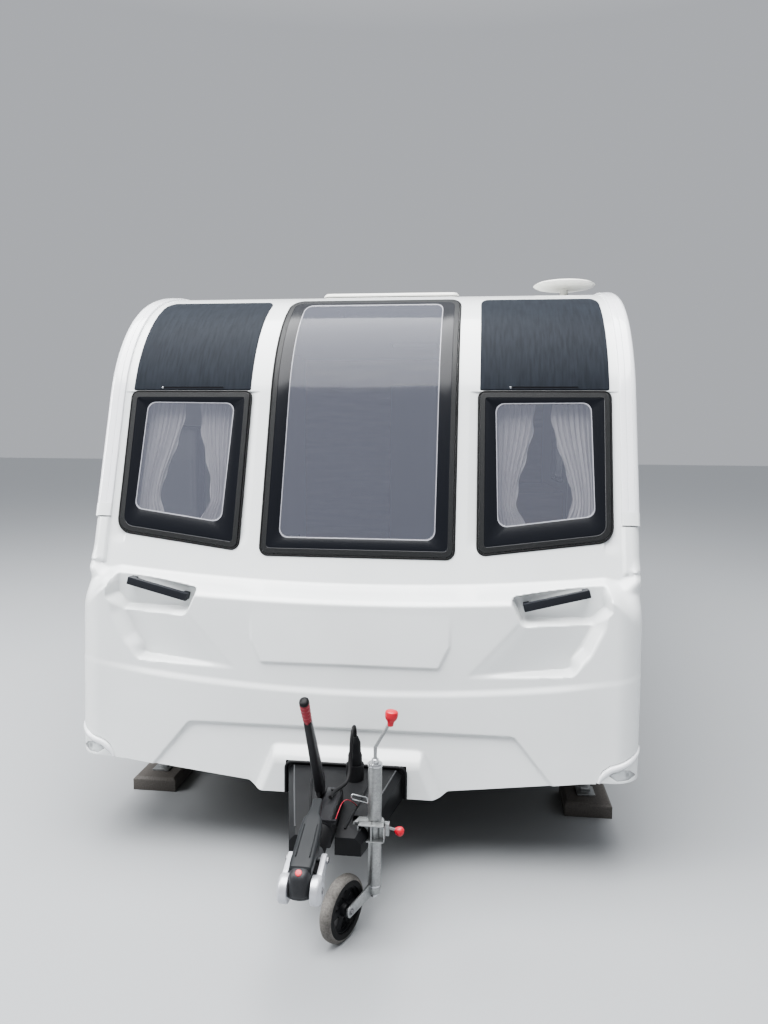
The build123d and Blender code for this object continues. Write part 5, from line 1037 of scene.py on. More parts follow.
def makeCoupling(spec):
    rings = []
    for y, half, z0, z1 in spec["handleRows"]:
        rings.append(ovalRing(Vector((0, y, (z0 + z1) / 2)), Vector((1, 0, 0)), Vector((0, 0, 1)), half, (z1 - z0) / 2,
                              5.5, 32))
    handle = lofted("liftHandle", rings, "handleBlack", "caravan", 30.0)
    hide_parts("coupling_handle")
    # two flutes along the handle
    for x in (-0.021, 0.021):
        tube("handleFlute", [(x, -3.030, 0.4715), (x, -2.975, 0.4875), (x * 0.95, -2.910, 0.5085)], 0.0018,
             "handleBlack", "caravan", 8)
    centre, half = Vector(spec["nose"]["centre"]), spec["nose"]["half"]
    rings = []
    for k in range(15):
        a = math.pi * (0.02 + 0.50 * k / 14)
        y = -half[1] * math.cos(a)
        reach = math.sin(a) ** 0.55
        rings.append(ovalRing(centre + Vector((0, y, -0.004 * (1 - reach))), Vector((1, 0, 0)), Vector((0, 0, 1)),
                              half[0] * reach, half[2] * reach, 3.6, 32))
    lofted("headNose", rings, "headGrey", "caravan", 40.0)
    button = lathe("headButton", knobs["button"], (0.0, -0.62, 0.78),
                   [(-0.006, 0.0100), (0.0012, 0.0100), (0.0024, 0.0092), (0.0030, 0.0070), (0.0031, 0.0010)],
                   "redPlastic", "caravan", 24)
    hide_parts("red_grips")
    py, pz = spec["pad"]
    ry, rz = spec["rearPin"]
    for side in (1, -1):
        x0 = side * spec["padInner"]
        lathe("frictionPad", (x0, py, pz), (side, 0, 0),
              [(0.0, 0.0385), (0.0015, 0.0410), (0.0180, 0.0420), (0.0240, 0.0405), (0.0285, 0.0360), (0.0310, 0.0290),
               (0.0318, 0.0190), (0.0300, 0.0165), (0.0300, 0.0020)], "cheekSilver", "caravan", 40, 32.0)
        lathe("padScrew", (x0 + side * 0.0295, py, pz), (side, 0, 0),
              [(0.0, 0.0090), (0.0030, 0.0090), (0.0038, 0.0080), (0.0038, 0.0040), (0.0014, 0.0036), (0.0014, 0.0006)],
              "wornSteel", "caravan", 18)
        # arm from the pad back to the cross pin
        away = Vector((0, ry - py, rz - pz))
        length = away.length
        outline = roundedOutline([(-0.012, -0.030), (0.040, -0.026), (length + 0.016, -0.0155),
                                  (length + 0.016, 0.0155), (0.040, 0.026), (-0.012, 0.030)],
                                 [0.008, 0.02, 0.014, 0.014, 0.02, 0.008], 5)
        arm = plate("frictionArm", outline if side > 0 else [(a, -b) for a, b in reversed(outline)],
                    (side * spec["armX"], py, pz), away, Vector((side, 0, 0)).cross(away), spec["armThick"],
                    "cheekSilver", "caravan", 0.003)
        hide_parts("stabiliser_cheeks")
        lathe("pinNut", (side * spec["nutX"], ry, rz), (side, 0, 0),
              [(0.0, 0.0105), (0.006, 0.0105), (0.0072, 0.0085), (0.0072, 0.001)], "wornSteel", "caravan", 6, 20.0)


makeCoupling(coupling)

# jockey wheel: worn tyre, arm, clamp box and collar; the clamp and collar stay with the body
jockey = {"axis": (0.158, -2.593), "turn": -25.0, "wheel": (-0.042, -0.138, 0.110), "clamp": (0.318, 0.378),
          "clampX": (0.104, 0.198), "clampY": (-2.648, -2.6165), "clampThick": 0.0045, "boltX": (0.122, 0.181),
          "collarZ": 0.566, "tyreHalf": 0.0225, "tyreRadius": 0.110, "tyreSegments": 72}


def jockeyPlace(x, y, z):
    a = math.radians(jockey["turn"])
    return Vector((jockey["axis"][0] + x * math.cos(a) - y * math.sin(a),
                   jockey["axis"][1] + x * math.sin(a) + y * math.cos(a), z))


def makeJockey():
    a = math.radians(jockey["turn"])
    axle = Vector((math.cos(a), math.sin(a), 0))
    centre = jockeyPlace(*jockey["wheel"])
    half, radius = jockey["tyreHalf"], jockey["tyreRadius"]
    rows = [(-half, 0.077), (-half, 0.088), (-half * 0.98, 0.0945), (-half * 0.86, 0.1022), (-half * 0.62, 0.1072),
            (-half * 0.32, 0.1094), (0.0, radius), (half * 0.32, 0.1094), (half * 0.62, 0.1072), (half * 0.86, 0.1022),
            (half * 0.98, 0.0945), (half, 0.088), (half, 0.077)]
    segments = jockey["tyreSegments"]
    u, v = Vector((0, 0, 1)), axle.cross(Vector((0, 0, 1)))
    rings = []
    for along, reach in rows:
        ring = []
        for k in range(segments):
            t = 2 * math.pi * k / segments
            ring.append(tuple(centre + axle * along + (u * math.cos(t) + v * math.sin(t)) * reach))
        rings.append(ring)
    verts, faces = ringFaces(rings + [rings[0]])
    slots = []
    for r in range(len(rows)):
        slots += [0 if 2 <= r <= 9 else 1] * segments
    tyre = solidPiece("jockeyTyre", verts, faces, ["dustyRubber", "tyreRubber"], bodyOf["jockey_tyre"], 40.0, slots)
    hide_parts("jockey_tyre")
    # wide flat arm outside the plain one, with a bolt at the axle
    body = bodyOf["jockey_fork"]
    top, low = jockeyPlace(-0.002, 0.006, 0.130), jockeyPlace(-0.004, -0.138, 0.110)
    away = low - top
    length = away.length
    outline = roundedOutline([(-0.026, -0.025), (length - 0.002, -0.0195), (length + 0.0195, -0.0195),
                              (length + 0.0195, 0.0195), (length - 0.002, 0.0195), (-0.026, 0.025)],
                             [0.012, 0.10, 0.016, 0.016, 0.10, 0.012], 6)
    plate("forkArm", outline, top - axle * 0.0060, away, axle.cross(away), 0.0065, "galvanised", body, 0.0012)
    lathe("forkBolt", low + axle * 0.0004, axle, [(0.0, 0.0125), (0.0016, 0.0125), (0.0017, 0.0090), (0.0065, 0.0090),
                                                 (0.0078, 0.0075), (0.0078, 0.0010)], "wornSteel", body, 6, 20.0)
    # clamp box: plates round an open middle, with bolts
    z0, z1 = jockey["clamp"]
    x0, x1 = jockey["clampX"]
    y0, y1 = jockey["clampY"]
    thick = jockey["clampThick"]
    for name, low, high in (("clampTop", (x0, y0, z1 - thick), (x1, y1, z1)),
                            ("clampFoot", (x0, y0, z0), (x1, y1, z0 + thick)),
                            ("clampSide", (x0, y0, z0), (x0 + thick, y1, z1)),
                            ("clampSide", (x1 - thick, y0, z0), (x1, y1, z1)),
                            ("clampMiddle", (0.149, y0 + 0.002, z0), (0.154, y1, z1)),
                            ("clampBack", (x0, y1 - 0.003, z0), (x1, y1, z1))):
        brick(name, low, high, "galvanised", "caravan", 0.0009)
    for x in jockey["boltX"]:
        lathe("clampBolt", (x, y1, z1 - 0.008), (0, 1, 0),
              [(0.0, 0.0065), (0.004, 0.0065), (0.005, 0.0055), (0.005, 0.001)], "wornSteel", "caravan", 6, 20.0)
    # rolled collar and crank gland at the head of the tube
    lathe("tubeCollar", (*jockey["axis"], jockey["collarZ"]), (0, 0, 1),
          [(0.0, 0.0243), (0.0015, 0.0258), (0.0080, 0.0260), (0.0100, 0.0250), (0.0125, 0.0236), (0.0128, 0.0130),
           (0.0260, 0.0125), (0.0275, 0.0110), (0.0280, 0.0065)], "brightSteel", "caravan", 36)


makeJockey()

# drawbar cover: rim round the mouth, closing flange, moulded ribs and a grey line along each outer edge that is a
# painted highlight
coverTrim = {"half": 0.2365, "top": 0.4235, "foot": 0.300, "front": -2.2745, "ribX": (0.128, 0.062), "corner": 0.026}


def makeCoverTrim(spec):
    half, top, foot, corner = (spec[k] for k in ("half", "top", "foot", "corner"))
    path = [(-half, foot)] + [(-half + corner - corner * math.cos(a), top - corner + corner * math.sin(a))
                              for a in np.linspace(0, math.pi / 2, 7)]
    path += [(half - corner + corner * math.sin(a), top - corner + corner * math.cos(a))
             for a in np.linspace(0, math.pi / 2, 7)] + [(half, foot)]
    points = [(x, spec["front"] + 0.004, z) for x, z in path]
    tube("coverRim", points, 0.0065, "blackPlastic", "caravan", 12)
    plate("coverFlange", path, (0, spec["front"] + 0.010, 0), (1, 0, 0), (0, 0, 1), 0.004, "blackPlastic",
          "caravan", 0.0)
    for side in (1, -1):
        start, end = spec["ribX"]
        line = []
        for t in np.linspace(0, 1, 6):
            y = -2.285 - t * 0.360
            z = np.interp(-y, [2.236, 2.420, 2.690], [0.420, 0.396, 0.352])
            line.append((side * (start + (end - start) * t), y, z + 0.001))
        tube("coverRib", line, 0.0040, "blackPlastic", "caravan", 10)
        # grey line along the cover's outer edge: a painted highlight
        outer = []
        for t in np.linspace(0, 1, 6):
            y = -2.280 - t * 0.370
            z = np.interp(-y, [2.236, 2.420, 2.690], [0.420, 0.396, 0.352])
            wide = np.interp(-y, [2.236, 2.420, 2.690], [0.232, 0.190, 0.124]) - 0.022
            outer.append((side * wide, y, z))
        tube("coverEdgeHighlight", outer, 0.0030, "greyPlastic", "caravan", 8)


makeCoverTrim(coverTrim)

# link clip that holds the breakaway cable's eye
clip = {"centre": (0.098, -2.545, 0.4225), "reach": 0.024, "half": 0.0095, "wire": 0.0026}
loop = []
for k in range(17):
    a = 2 * math.pi * k / 16
    straight = clip["reach"] if math.cos(a) > 0 else -clip["reach"]
    along, over = straight + clip["half"] * math.cos(a), clip["half"] * math.sin(a)
    loop.append((clip["centre"][0] + along * 0.86, clip["centre"][1] + along * 0.30 + over * 0.3,
                 clip["centre"][2] + over * 0.9 - along * 0.35))
tube("cableClip", loop, clip["wire"], "brightSteel", "caravan", 10)
print("hitch")


# curtains: gathered nets on the rails, drawn outwards towards the sill
nets = {"head": 1.858, "foot": 1.345, "depth": -0.046, "fold": 0.0095, "folds": 7, "columns": 72, "rows": 56,
        "waist": 0.80, "spans": [("Inner", 0.568, 0.730, 0.578, 0.655, 0.585, 0.690),
                                 ("Outer", 0.962, 0.800, 0.968, 0.880, 0.972, 0.845)]}


def makeNets(spec):
    for name, edgeTop, freeTop, edgeWaist, freeWaist, edgeFoot, freeFoot in spec["spans"]:
        for side in (1, -1):
            rng = np.random.default_rng(7 + len(name) + (side > 0))
            us = np.linspace(0, 1, spec["columns"])
            vs = np.linspace(0, 1, spec["rows"])
            u, v = np.meshgrid(us, vs, indexing="ij")
            waist = spec["waist"]
            edge = np.where(v < waist, edgeTop + (edgeWaist - edgeTop) * smoothStep(v / waist),
                            edgeWaist + (edgeFoot - edgeWaist) * smoothStep((v - waist) / (1 - waist)))
            free = np.where(v < waist, freeTop + (freeWaist - freeTop) * smoothStep(v / waist) ** 1.3,
                            freeWaist + (freeFoot - freeWaist) * smoothStep((v - waist) / (1 - waist)))
            shift = rng.uniform(0, 6.28, 4)
            phase = 2 * math.pi * spec["folds"] * (u + 0.035 * np.sin(3.1 * v + shift[0]) * u)
            wave = np.sin(phase + shift[1]) + 0.35 * np.sin(2.3 * phase + 4 * v + shift[2])
            tight = 1.0 - 0.35 * np.exp(-((v - waist) / 0.09) ** 2)
            x = edge + (free - edge) * u + 0.0035 * np.cos(phase + shift[1]) * (1 - 0.6 * u)
            x = x + 0.004 * np.sin(26 * v + shift[3]) * (u > 0.985)
            z = spec["head"] + (spec["foot"] - spec["head"]) * v + 0.004 * np.sin(phase) * (v > 0.97)
            points = onFront(side * x, z, spec["depth"] + spec["fold"] * wave * tight * 0.72)
            keep = np.ones((spec["columns"] - 1, spec["rows"] - 1), bool)
            mesh = cleanMesh("net" + name, *gridFaces(points, keep))
            net = fromMesh("net" + name + ("Near" if side > 0 else "Off"), mesh, "curtainCloth", "caravan", 60.0)
            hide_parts("curtains")


makeNets(nets)

# seat cushions: crowned pads with sewn channels
cushions = {"seats": [("NearSeat", 1, -1.836, -0.544), ("OffSeat", -1, -1.836, -0.794)],
            "seatX": (0.482, 0.942), "seatZ": (0.8005, 0.9300), "backX": (0.952, 1.084), "backZ": (0.803, 1.150),
            "channels": 4, "crown": 0.011}


def cushion(name, low, high, topAxis, channels, crown):
    # a box of points; its broad face is crowned and drawn in along the sewn lines
    low, high = Vector(low), Vector(high)
    size = high - low
    counts = [max(int(s / 0.022), 6) for s in size]
    middle = (low + high) / 2
    bm = bmesh.new()
    made = {}

    def vert(i, j, k):
        key = (i, j, k)
        if key in made:
            return made[key]
        t = [2 * i / counts[0] - 1, 2 * j / counts[1] - 1, 2 * k / counts[2] - 1]
        power = 7.0
        norm = max(abs(c) for c in t)
        round3 = sum(abs(c) ** power for c in t) ** (1 / power)
        scale = norm / round3 if round3 > 0 else 1.0
        t = [c * scale for c in t]
        place = [middle[a] + t[a] * (size[a] / 2 - crown * 0.5) for a in range(3)]
        flat = [a for a in range(3) if a != topAxis]
        fall = (1 - abs(t[flat[0]]) ** 4) * (1 - abs(t[flat[1]]) ** 4)
        reach = (t[topAxis] if abs(t[topAxis]) > 0.5 else 0)
        along = (t[1] + 1) / 2 * channels
        sewn = 0.007 * math.exp(-((along - round(along)) / 0.045) ** 2) * (0 < round(along) < channels)
        rise = crown * fall * 0.5 - sewn * (abs(t[topAxis]) > 0.8)
        place[topAxis] += math.copysign(1, t[topAxis]) * rise * abs(reach)
        made[key] = bm.verts.new(place)
        return made[key]

    for axis in range(3):
        a, b = [n for n in range(3) if n != axis]
        for end in (0, counts[axis]):
            for i in range(counts[a]):
                for j in range(counts[b]):
                    corner = []
                    for di, dj in ((0, 0), (1, 0), (1, 1), (0, 1)):
                        index = [0, 0, 0]
                        index[axis], index[a], index[b] = end, i + di, j + dj
                        corner.append(vert(*index))
                    bm.faces.new(corner)
    bmesh.ops.recalc_face_normals(bm, faces=bm.faces)
    mesh = bpy.data.meshes.new(name)
    bm.to_mesh(mesh)
    bm.free()
    pad = fromMesh(name, mesh, "cushionCloth", "caravan", 60.0)
    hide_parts("seat_cushions")


for label, side, y0, y1 in cushions["seats"]:
    for kind, (x0, x1), (z0, z1), axis in (("Pad", cushions["seatX"], cushions["seatZ"], 2),
                                           ("Back", cushions["backX"], cushions["backZ"], 0)):
        ends = sorted((side * x0, side * x1))
        cushion("cushion" + label + kind, (ends[0], y0, z0), (ends[1], y1, z1), axis, cushions["channels"],
                cushions["crown"])
print("soft goods")


# rings and plates on the flat faces: side walls, doors, rear panel and roof
def boxOutline(u0, u1, v0, v1, radius, steps=6):
    return roundedOutline([(u0, v0), (u1, v0), (u1, v1), (u0, v1)], radius, steps)


def onWall(side, face):
    return lambda u, v, h: (side * (face + h), u, v)


def onRear(face):
    return lambda u, v, h: (u, face + h, v)


def onRoof(face):
    return lambda u, v, h: (u, v, face + h)


def bandRing(name, outer, inner, place, thick, paint, body):
    rings = [[place(u, v, h) for u, v in outline] for outline, h in
             ((outer, 0.0), (outer, thick * 0.7), (insetOutline(outer, 0.0008), thick), (inner, thick), (inner, 0.0))]
    verts, faces = ringFaces(rings)
    return solidPiece(name, verts, faces, paint, body, 35.0)


def patch(name, outline, place, low, high, paint, body, round=0.002):
    # a raised plate with a rounded edge
    rings = [[place(u, v, h) for u, v in ring] for ring, h in
             ((outline, low), (outline, high - round), (insetOutline(outline, round * 0.35), high - round * 0.35),
              (insetOutline(outline, round), high))]
    return lofted(name, rings, paint, body, 40.0)


sideGlass = {"rows": [("Front", 1, -1.790, -0.760, 1.180, 1.760), ("Middle", 1, 0.330, 1.130, 1.400, 1.800),
                      ("Rear", 1, 2.380, 2.720, 1.560, 1.860), ("OffFront", -1, -1.790, -0.760, 1.180, 1.760),
                      ("OffMiddle", -1, 0.080, 0.980, 1.300, 1.760)],
             "lap": 0.0325, "border": 0.026, "face": 1.1360, "corner": 0.070, "wall": 1.128, "inside": 1.112}


def makeSideGlass(spec):
    for label, side, y0, y1, z0, z1 in spec["rows"]:
        lap, border = spec["lap"], spec["border"]
        outer = boxOutline(y0 - lap, y1 + lap, z0 - lap, z1 + lap, spec["corner"])
        inner = boxOutline(y0 + border, y1 - border, z0 + border, z1 - border, spec["corner"] - 0.03)
        bandRing("border" + label, outer, inner, onWall(side, spec["face"]), 0.0007, "blackGloss", "caravan")
        # gutter strip over the pane and two stay housings behind its foot
        strip = boxOutline(y0 - lap - 0.012, y1 + lap + 0.012, z1 + lap + 0.006, z1 + lap + 0.018, 0.004)
        patch("gutter" + label, strip, onWall(side, spec["wall"]), -0.001, 0.0075, "trimPaint", "caravan")
        for k, y in enumerate((y0 + 0.10, y1 - 0.10)):
            catch = boxOutline(y - 0.030, y + 0.030, z0 + 0.004, z0 + 0.022, 0.006)
            patch("catch%s%d" % (label, k), catch, onWall(side, spec["inside"]), 0.0, 0.012, "blackPlastic", "caravan")


entrance = {"leaf": (-0.466, 0.146, 0.464, 2.196), "pane": (-0.396, 0.076, 1.394, 1.986), "face": 1.128,
            "cup": (0.054, 0.126, 1.174, 1.306), "lever": (0.066, 0.098, 1.190, 1.290), "lock": (0.110, 1.200),
            "ribs": (0.560, 0.575)}


def sealRing(name, leaf, side, face, body):
    y0, y1, z0, z1 = leaf
    outer = boxOutline(y0 + 0.0015, y1 - 0.0015, z0 + 0.0015, z1 - 0.0015, 0.013)
    inner = boxOutline(y0 + 0.009, y1 - 0.009, z0 + 0.009, z1 - 0.009, 0.008)
    bandRing(name, outer, inner, onWall(side, face), 0.0009, "greyPlastic", body)


def makeEntrance(spec):
    face = spec["face"]
    sealRing("doorSeal", spec["leaf"], 1, face, "door")
    y0, y1, z0, z1 = spec["pane"]
    bandRing("doorPaneBorder", boxOutline(y0 + 0.001, y1 - 0.001, z0 + 0.001, z1 - 0.001, 0.049),
             boxOutline(y0 + 0.046, y1 - 0.046, z0 + 0.046, z1 - 0.046, 0.030), onWall(1, face + 0.006), 0.0007,
             "blackGloss", "door")
    patch("doorHandleCup", boxOutline(*spec["cup"], 0.014), onWall(1, face), -0.001, 0.0072, "blackPlastic", "door")
    patch("doorHandleLever", boxOutline(*spec["lever"], 0.010), onWall(1, face), 0.006, 0.0125, "handleBlack", "door",
          0.003)
    lathe("doorLock", (face + 0.006, *spec["lock"]), (1, 0, 0),
          [(0.0, 0.0085), (0.0025, 0.0085), (0.0036, 0.0072), (0.0038, 0.002)], "brightSteel", "door", 20)
    for k, z in enumerate(spec["ribs"]):
        patch("doorRib%d" % k, boxOutline(-0.430, 0.110, z, z + 0.006, 0.0025), onWall(1, face), -0.001, 0.0022,
              "trimPaint", "door", 0.001)


hatches = {"rows": [("gas_door", (-0.726, -0.084, 0.474, 1.036), (-0.125, 0.755)),
                    ("battery_door", (1.064, 1.416, 0.484, 0.786), (1.240, 0.525)),
                    ("toilet_door", (2.304, 2.696, 0.484, 0.856), (2.655, 0.670))],
           "face": 1.128, "button": 1.127, "key": 1.1350}


def makeHatches(spec):
    for body, leaf, (y, z) in spec["rows"]:
        sealRing(body + "Seal", leaf, -1, spec["face"], body)
        lathe(body + "Button", (-spec["button"], y, z), (-1, 0, 0),
              [(0.0, 0.0180), (0.0060, 0.0180), (0.0075, 0.0165), (0.0070, 0.0115), (0.0084, 0.0105),
               (0.0086, 0.0020)], "whitePlastic", body, 28)
        lathe(body + "Key", (-spec["key"], y, z), (-1, 0, 0), [(0.0, 0.0050), (0.0012, 0.0048), (0.0013, 0.001)],
              "brightSteel", body, 16)


makeSideGlass(sideGlass)
makeEntrance(entrance)
makeHatches(hatches)

# rear: sectioned lamps, high lamp, bare plate with its lights, reflectors
rear = {"face": 3.085, "lamp": (0.690, 1.020, 0.575, 0.705), "high": (0.180, 2.190, 2.212),
        "plate": (0.260, 0.598, 0.709), "reflector": (0.560, 0.445), "bumperFace": 3.100,
        "plateLights": (-0.15, 0.15), "seam": (1.098, 0.5405, 0.5455)}


def makeRear(spec):
    x0, x1, z0, z1 = spec["lamp"]
    onFace = onRear(spec["face"])
    for side in (1, -1):
        label = "Near" if side > 0 else "Off"

        def box(a, b, low, high, radius):
            ends = sorted((side * a, side * b))
            return boxOutline(ends[0], ends[1], low, high, radius)

        base = patch("rearLampBase" + label, box(x0, x1, z0, z1, 0.028), onFace, -0.004, 0.0080, "blackPlastic",
                     "caravan", 0.003)
        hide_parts("rear_lamps")
        for kind, a, b, paint in (("Stop", x1 - 0.128, x1 - 0.008, "lampRed"),
                                  ("Turn", x1 - 0.212, x1 - 0.132, "lampAmber"),
                                  ("Reverse", x1 - 0.266, x1 - 0.216, "clearLens"),
                                  ("Fog", x0 + 0.008, x1 - 0.270, "lampRed")):
            lens = patch("rearLamp" + kind + label, box(a, b, z0 + 0.010, z1 - 0.010, 0.012), onFace, 0.006, 0.0145,
                         paint, "caravan", 0.005)
            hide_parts("rear_lamps")
        x, z = spec["reflector"]
        corner = [(side * x - 0.075, z - 0.048), (side * x + 0.075, z - 0.048), (side * x, z + 0.078)]
        patch("rearReflector" + label, roundedOutline(corner, 0.010), onRear(spec["bumperFace"]), -0.001, 0.0055,
              "lampRed", "caravan", 0.002)
    half, low, high = spec["high"]
    for name, grow, a, b, paint in (("highLampBase", 0.004, -0.004, 0.004, "blackPlastic"),
                                    ("highLamp", -0.001, 0.003, 0.011, "lampRed")):
        outline = boxOutline(-half - grow, half + grow, low - grow, high + grow, 0.009)
        piece = patch(name, outline, onFace, a, b, paint, "caravan", 0.002)
        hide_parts("rear_lamps")
    half, low, high = spec["plate"]
    patch("plateHolder", boxOutline(-half - 0.014, half + 0.014, low - 0.014, high + 0.014, 0.010), onFace, -0.002,
          0.0060, "blackPlastic", "caravan")
    patch("rearPlate", boxOutline(-half, half, low, high, 0.008), onFace, 0.005, 0.0078, "plateYellow", "caravan",
          0.001)
    for k, x in enumerate(spec["plateLights"]):
        patch("plateLight%d" % k, boxOutline(x - 0.034, x + 0.034, high + 0.018, high + 0.036, 0.006), onFace,
              -0.001, 0.0140, "blackPlastic", "caravan", 0.005)
    half, low, high = spec["seam"]
    patch("bumperSeam", boxOutline(-half, half, low, high, 0.002), onFace, -0.004, 0.0012, "greyPlastic", "caravan",
          0.0006)


makeRear(rear)

# roof: sealant round each rooflight and its lid seam; rows are half width, front, back and height of a lid
roofLights = {"rows": [(0.380, -0.790, -0.330, 0.042), (0.240, 0.760, 1.160, 0.060), (0.180, 2.420, 2.720, 0.050)],
              "seamAt": 0.45, "inset": 0.004, "corner": 0.036}


def makeRoofLights(spec):
    inset = spec["inset"]
    for k, (half, y0, y1, tall) in enumerate(spec["rows"]):
        inner = boxOutline(-half + inset, half - inset, y0 + inset, y1 - inset, spec["corner"])
        for name, grow, corner, height, thick in (("sealant", 0.014, 0.052, 0.0, 0.003),
                                                  ("lidSeam", 0.0012, 0.041, tall * spec["seamAt"], 0.004)):
            outer = boxOutline(-half - grow, half + grow, y0 - grow, y1 + grow, corner)
            bandRing("%s%d" % (name, k), outer, inner, onRoof(profile["crownZ"] + height), thick, "greyPlastic",
                     "caravan")


makeRoofLights(roofLights)

# front lamps: rolled ridge over the housing, lens rim and bulbs
lamp = {"line": [(0.968, 0.386), (0.975, 0.410), (0.988, 0.431), (1.015, 0.451), (1.062, 0.466), (1.108, 0.486),
                 (1.1395, 0.501)],
        "section": [(0.0015, -0.006), (0.0020, 0.0030), (0.0070, 0.0085), (0.0140, 0.0098), (0.0210, 0.0070),
                    (0.0270, 0.0015), (0.0280, -0.006)],
        "lens": [(1.010, 0.414), (1.030, 0.432), (1.060, 0.441), (1.095, 0.431), (1.124, 0.404), (1.088, 0.394),
                 (1.046, 0.393)], "bulbs": ((1.036, 0.414), (1.092, 0.412))}


def onCorner(side, x, z, proud):
    # a point over the moulding's rounded lower corner, by its place in front view
    radius, inner = moulding["cornerLow"], moulding["side"] - moulding["cornerLow"]
    turn = math.asin(min(max((x - inner) / radius, 0.0), 1.0))
    y = float(frontFace(np.array([min(x, 1.139)]), np.array([z]))[0]) + radius * (1 - math.cos(turn))
    return Vector((side * (x + proud * math.sin(turn)), y - proud * math.cos(turn), z))


def makeLamps(spec):
    line = [Vector(p) for p in spec["line"]]
    stations = []
    for a, b in zip(line, line[1:]):
        stations += [a.lerp(b, k / 8) for k in range(8)]
    stations.append(line[-1])
    for _ in range(6):
        stations[1:-1] = [(a + b * 2 + c) / 4 for a, b, c in zip(stations, stations[1:], stations[2:])]
    for side, label in ((1, "Near"), (-1, "Off")):
        rings = []
        for k, here in enumerate(stations):
            way = (stations[min(k + 1, len(stations) - 1)] - stations[max(k - 1, 0)]).normalized()
            down = Vector((way.y, -way.x))
            grow = 0.45 + 0.55 * min(1.0, k / 14, (len(stations) - 1 - k) / 12)
            ring = []
            for offset, proud in spec["section"]:
                x, z = here + down * offset * grow
                ring.append(tuple(onCorner(side, x, z, proud * (grow if proud > 0 else 1))))
            rings.append(ring)
        lofted("lampRidge" + label, rings, "trimPaint", "caravan", 50.0)
        ends = sorted((side * 1.118, side * 1.133))
        brick("lampBacking" + label, (ends[0], -2.062, 0.392), (ends[1], -2.018, 0.500), "gelcoat", "caravan")
        rim = roundedOutline(spec["lens"], 0.006, 4)
        tube("lensRim" + label, [onCorner(side, x, z, -0.0065) for x, z in list(rim) + [rim[0]]], 0.0018, "greyPlastic",
             "caravan", 8)
        for k, (x, z) in enumerate(spec["bulbs"]):
            start, tip = onCorner(side, x, z, -0.012), onCorner(side, x, z, -0.007)
            lathe("bulb%s%d" % (label, k), start, tip - start, [(0.0, 0.0075), (0.004, 0.0075), (0.005, 0.003)],
                  ("reflector", "greyPlastic")[k], "caravan", 18)


makeLamps(lamp)

# road wheels: grooved tread with shoulder blocks, bolts, centre cap and valve
tyre = {"place": (0.990, 0.560, 0.307), "segments": 240, "blockDepth": 0.0055,
        "half": [(0.0660, 0.1780), (0.0700, 0.1850), (0.0790, 0.1930), (0.0790, 0.1980), (0.0850, 0.2080),
                 (0.0900, 0.2260), (0.0925, 0.2440), (0.0918, 0.2580), (0.0908, 0.2600), (0.0905, 0.2680),
                 (0.0890, 0.2790), (0.0868, 0.2890), (0.0830, 0.2970), (0.0765, 0.3030), (0.0690, 0.3058),
                 (0.0560, 0.3066), (0.0540, 0.2990), (0.0480, 0.2990), (0.0460, 0.3067), (0.0210, 0.3070),
                 (0.0190, 0.2992), (0.0130, 0.2992), (0.0110, 0.3070)],
        "boltCircle": 0.050, "boltX": 0.041, "bolts": 5, "capX": 0.051,
        "valve": (0.047, 0.150)}


def makeWheels(spec):
    rows = spec["half"] + [(-a, r) for a, r in reversed(spec["half"])]
    cx, cy, cz = spec["place"]
    for side, node, body in ((1, "tyre_near", "wheel_near"), (-1, "tyre_off", "wheel_off")):
        rings = []
        for along, radius in rows + rows[:1]:
            ring = []
            for k in range(spec["segments"]):
                turn = 2 * math.pi * k / spec["segments"]
                shoulder = 0.055 < abs(along) < 0.088 and radius > 0.29
                cut = spec["blockDepth"] if shoulder and (k + (along < 0)) % 4 == 0 else 0.0
                reach = radius - cut
                ring.append((side * (cx + along), cy + reach * math.cos(turn), cz + reach * math.sin(turn)))
            rings.append(ring)
        verts, faces = ringFaces(rings)
        tread = solidPiece("tread" + ("Near" if side > 0 else "Off"), verts, faces, "tyreRubber", body, 30.0)
        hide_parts(node)
        for i in range(spec["bolts"]):
            turn = math.radians(72 * i + 36)
            foot = (side * (cx + spec["boltX"]), cy + spec["boltCircle"] * math.sin(turn),
                    cz + spec["boltCircle"] * math.cos(turn))
            lathe("wheelBolt%s%d" % (body[6:], i), foot, (side, 0, 0),
                  [(0.0, 0.0086), (0.0085, 0.0086), (0.0100, 0.0076), (0.0104, 0.0020)], "brightSteel", body, 6)
        lathe("hubCap" + body[6:], (side * (cx + spec["capX"]), cy, cz), (side, 0, 0),
              [(0.0, 0.0335), (0.0050, 0.0335), (0.0075, 0.0310), (0.0100, 0.0220), (0.0108, 0.0060), (0.0108, 0.0010)],
              "greyPlastic", body, 40, 50.0)
        lathe("valve" + body[6:], (side * (cx + spec["valve"][0]), cy, cz + spec["valve"][1]), (side, 0, -0.35),
              [(0.0, 0.0045), (0.020, 0.0035), (0.021, 0.0045), (0.030, 0.0042)], "rubber", body, 12)


makeWheels(tyre)
print("sides, rear, roof and wheels")


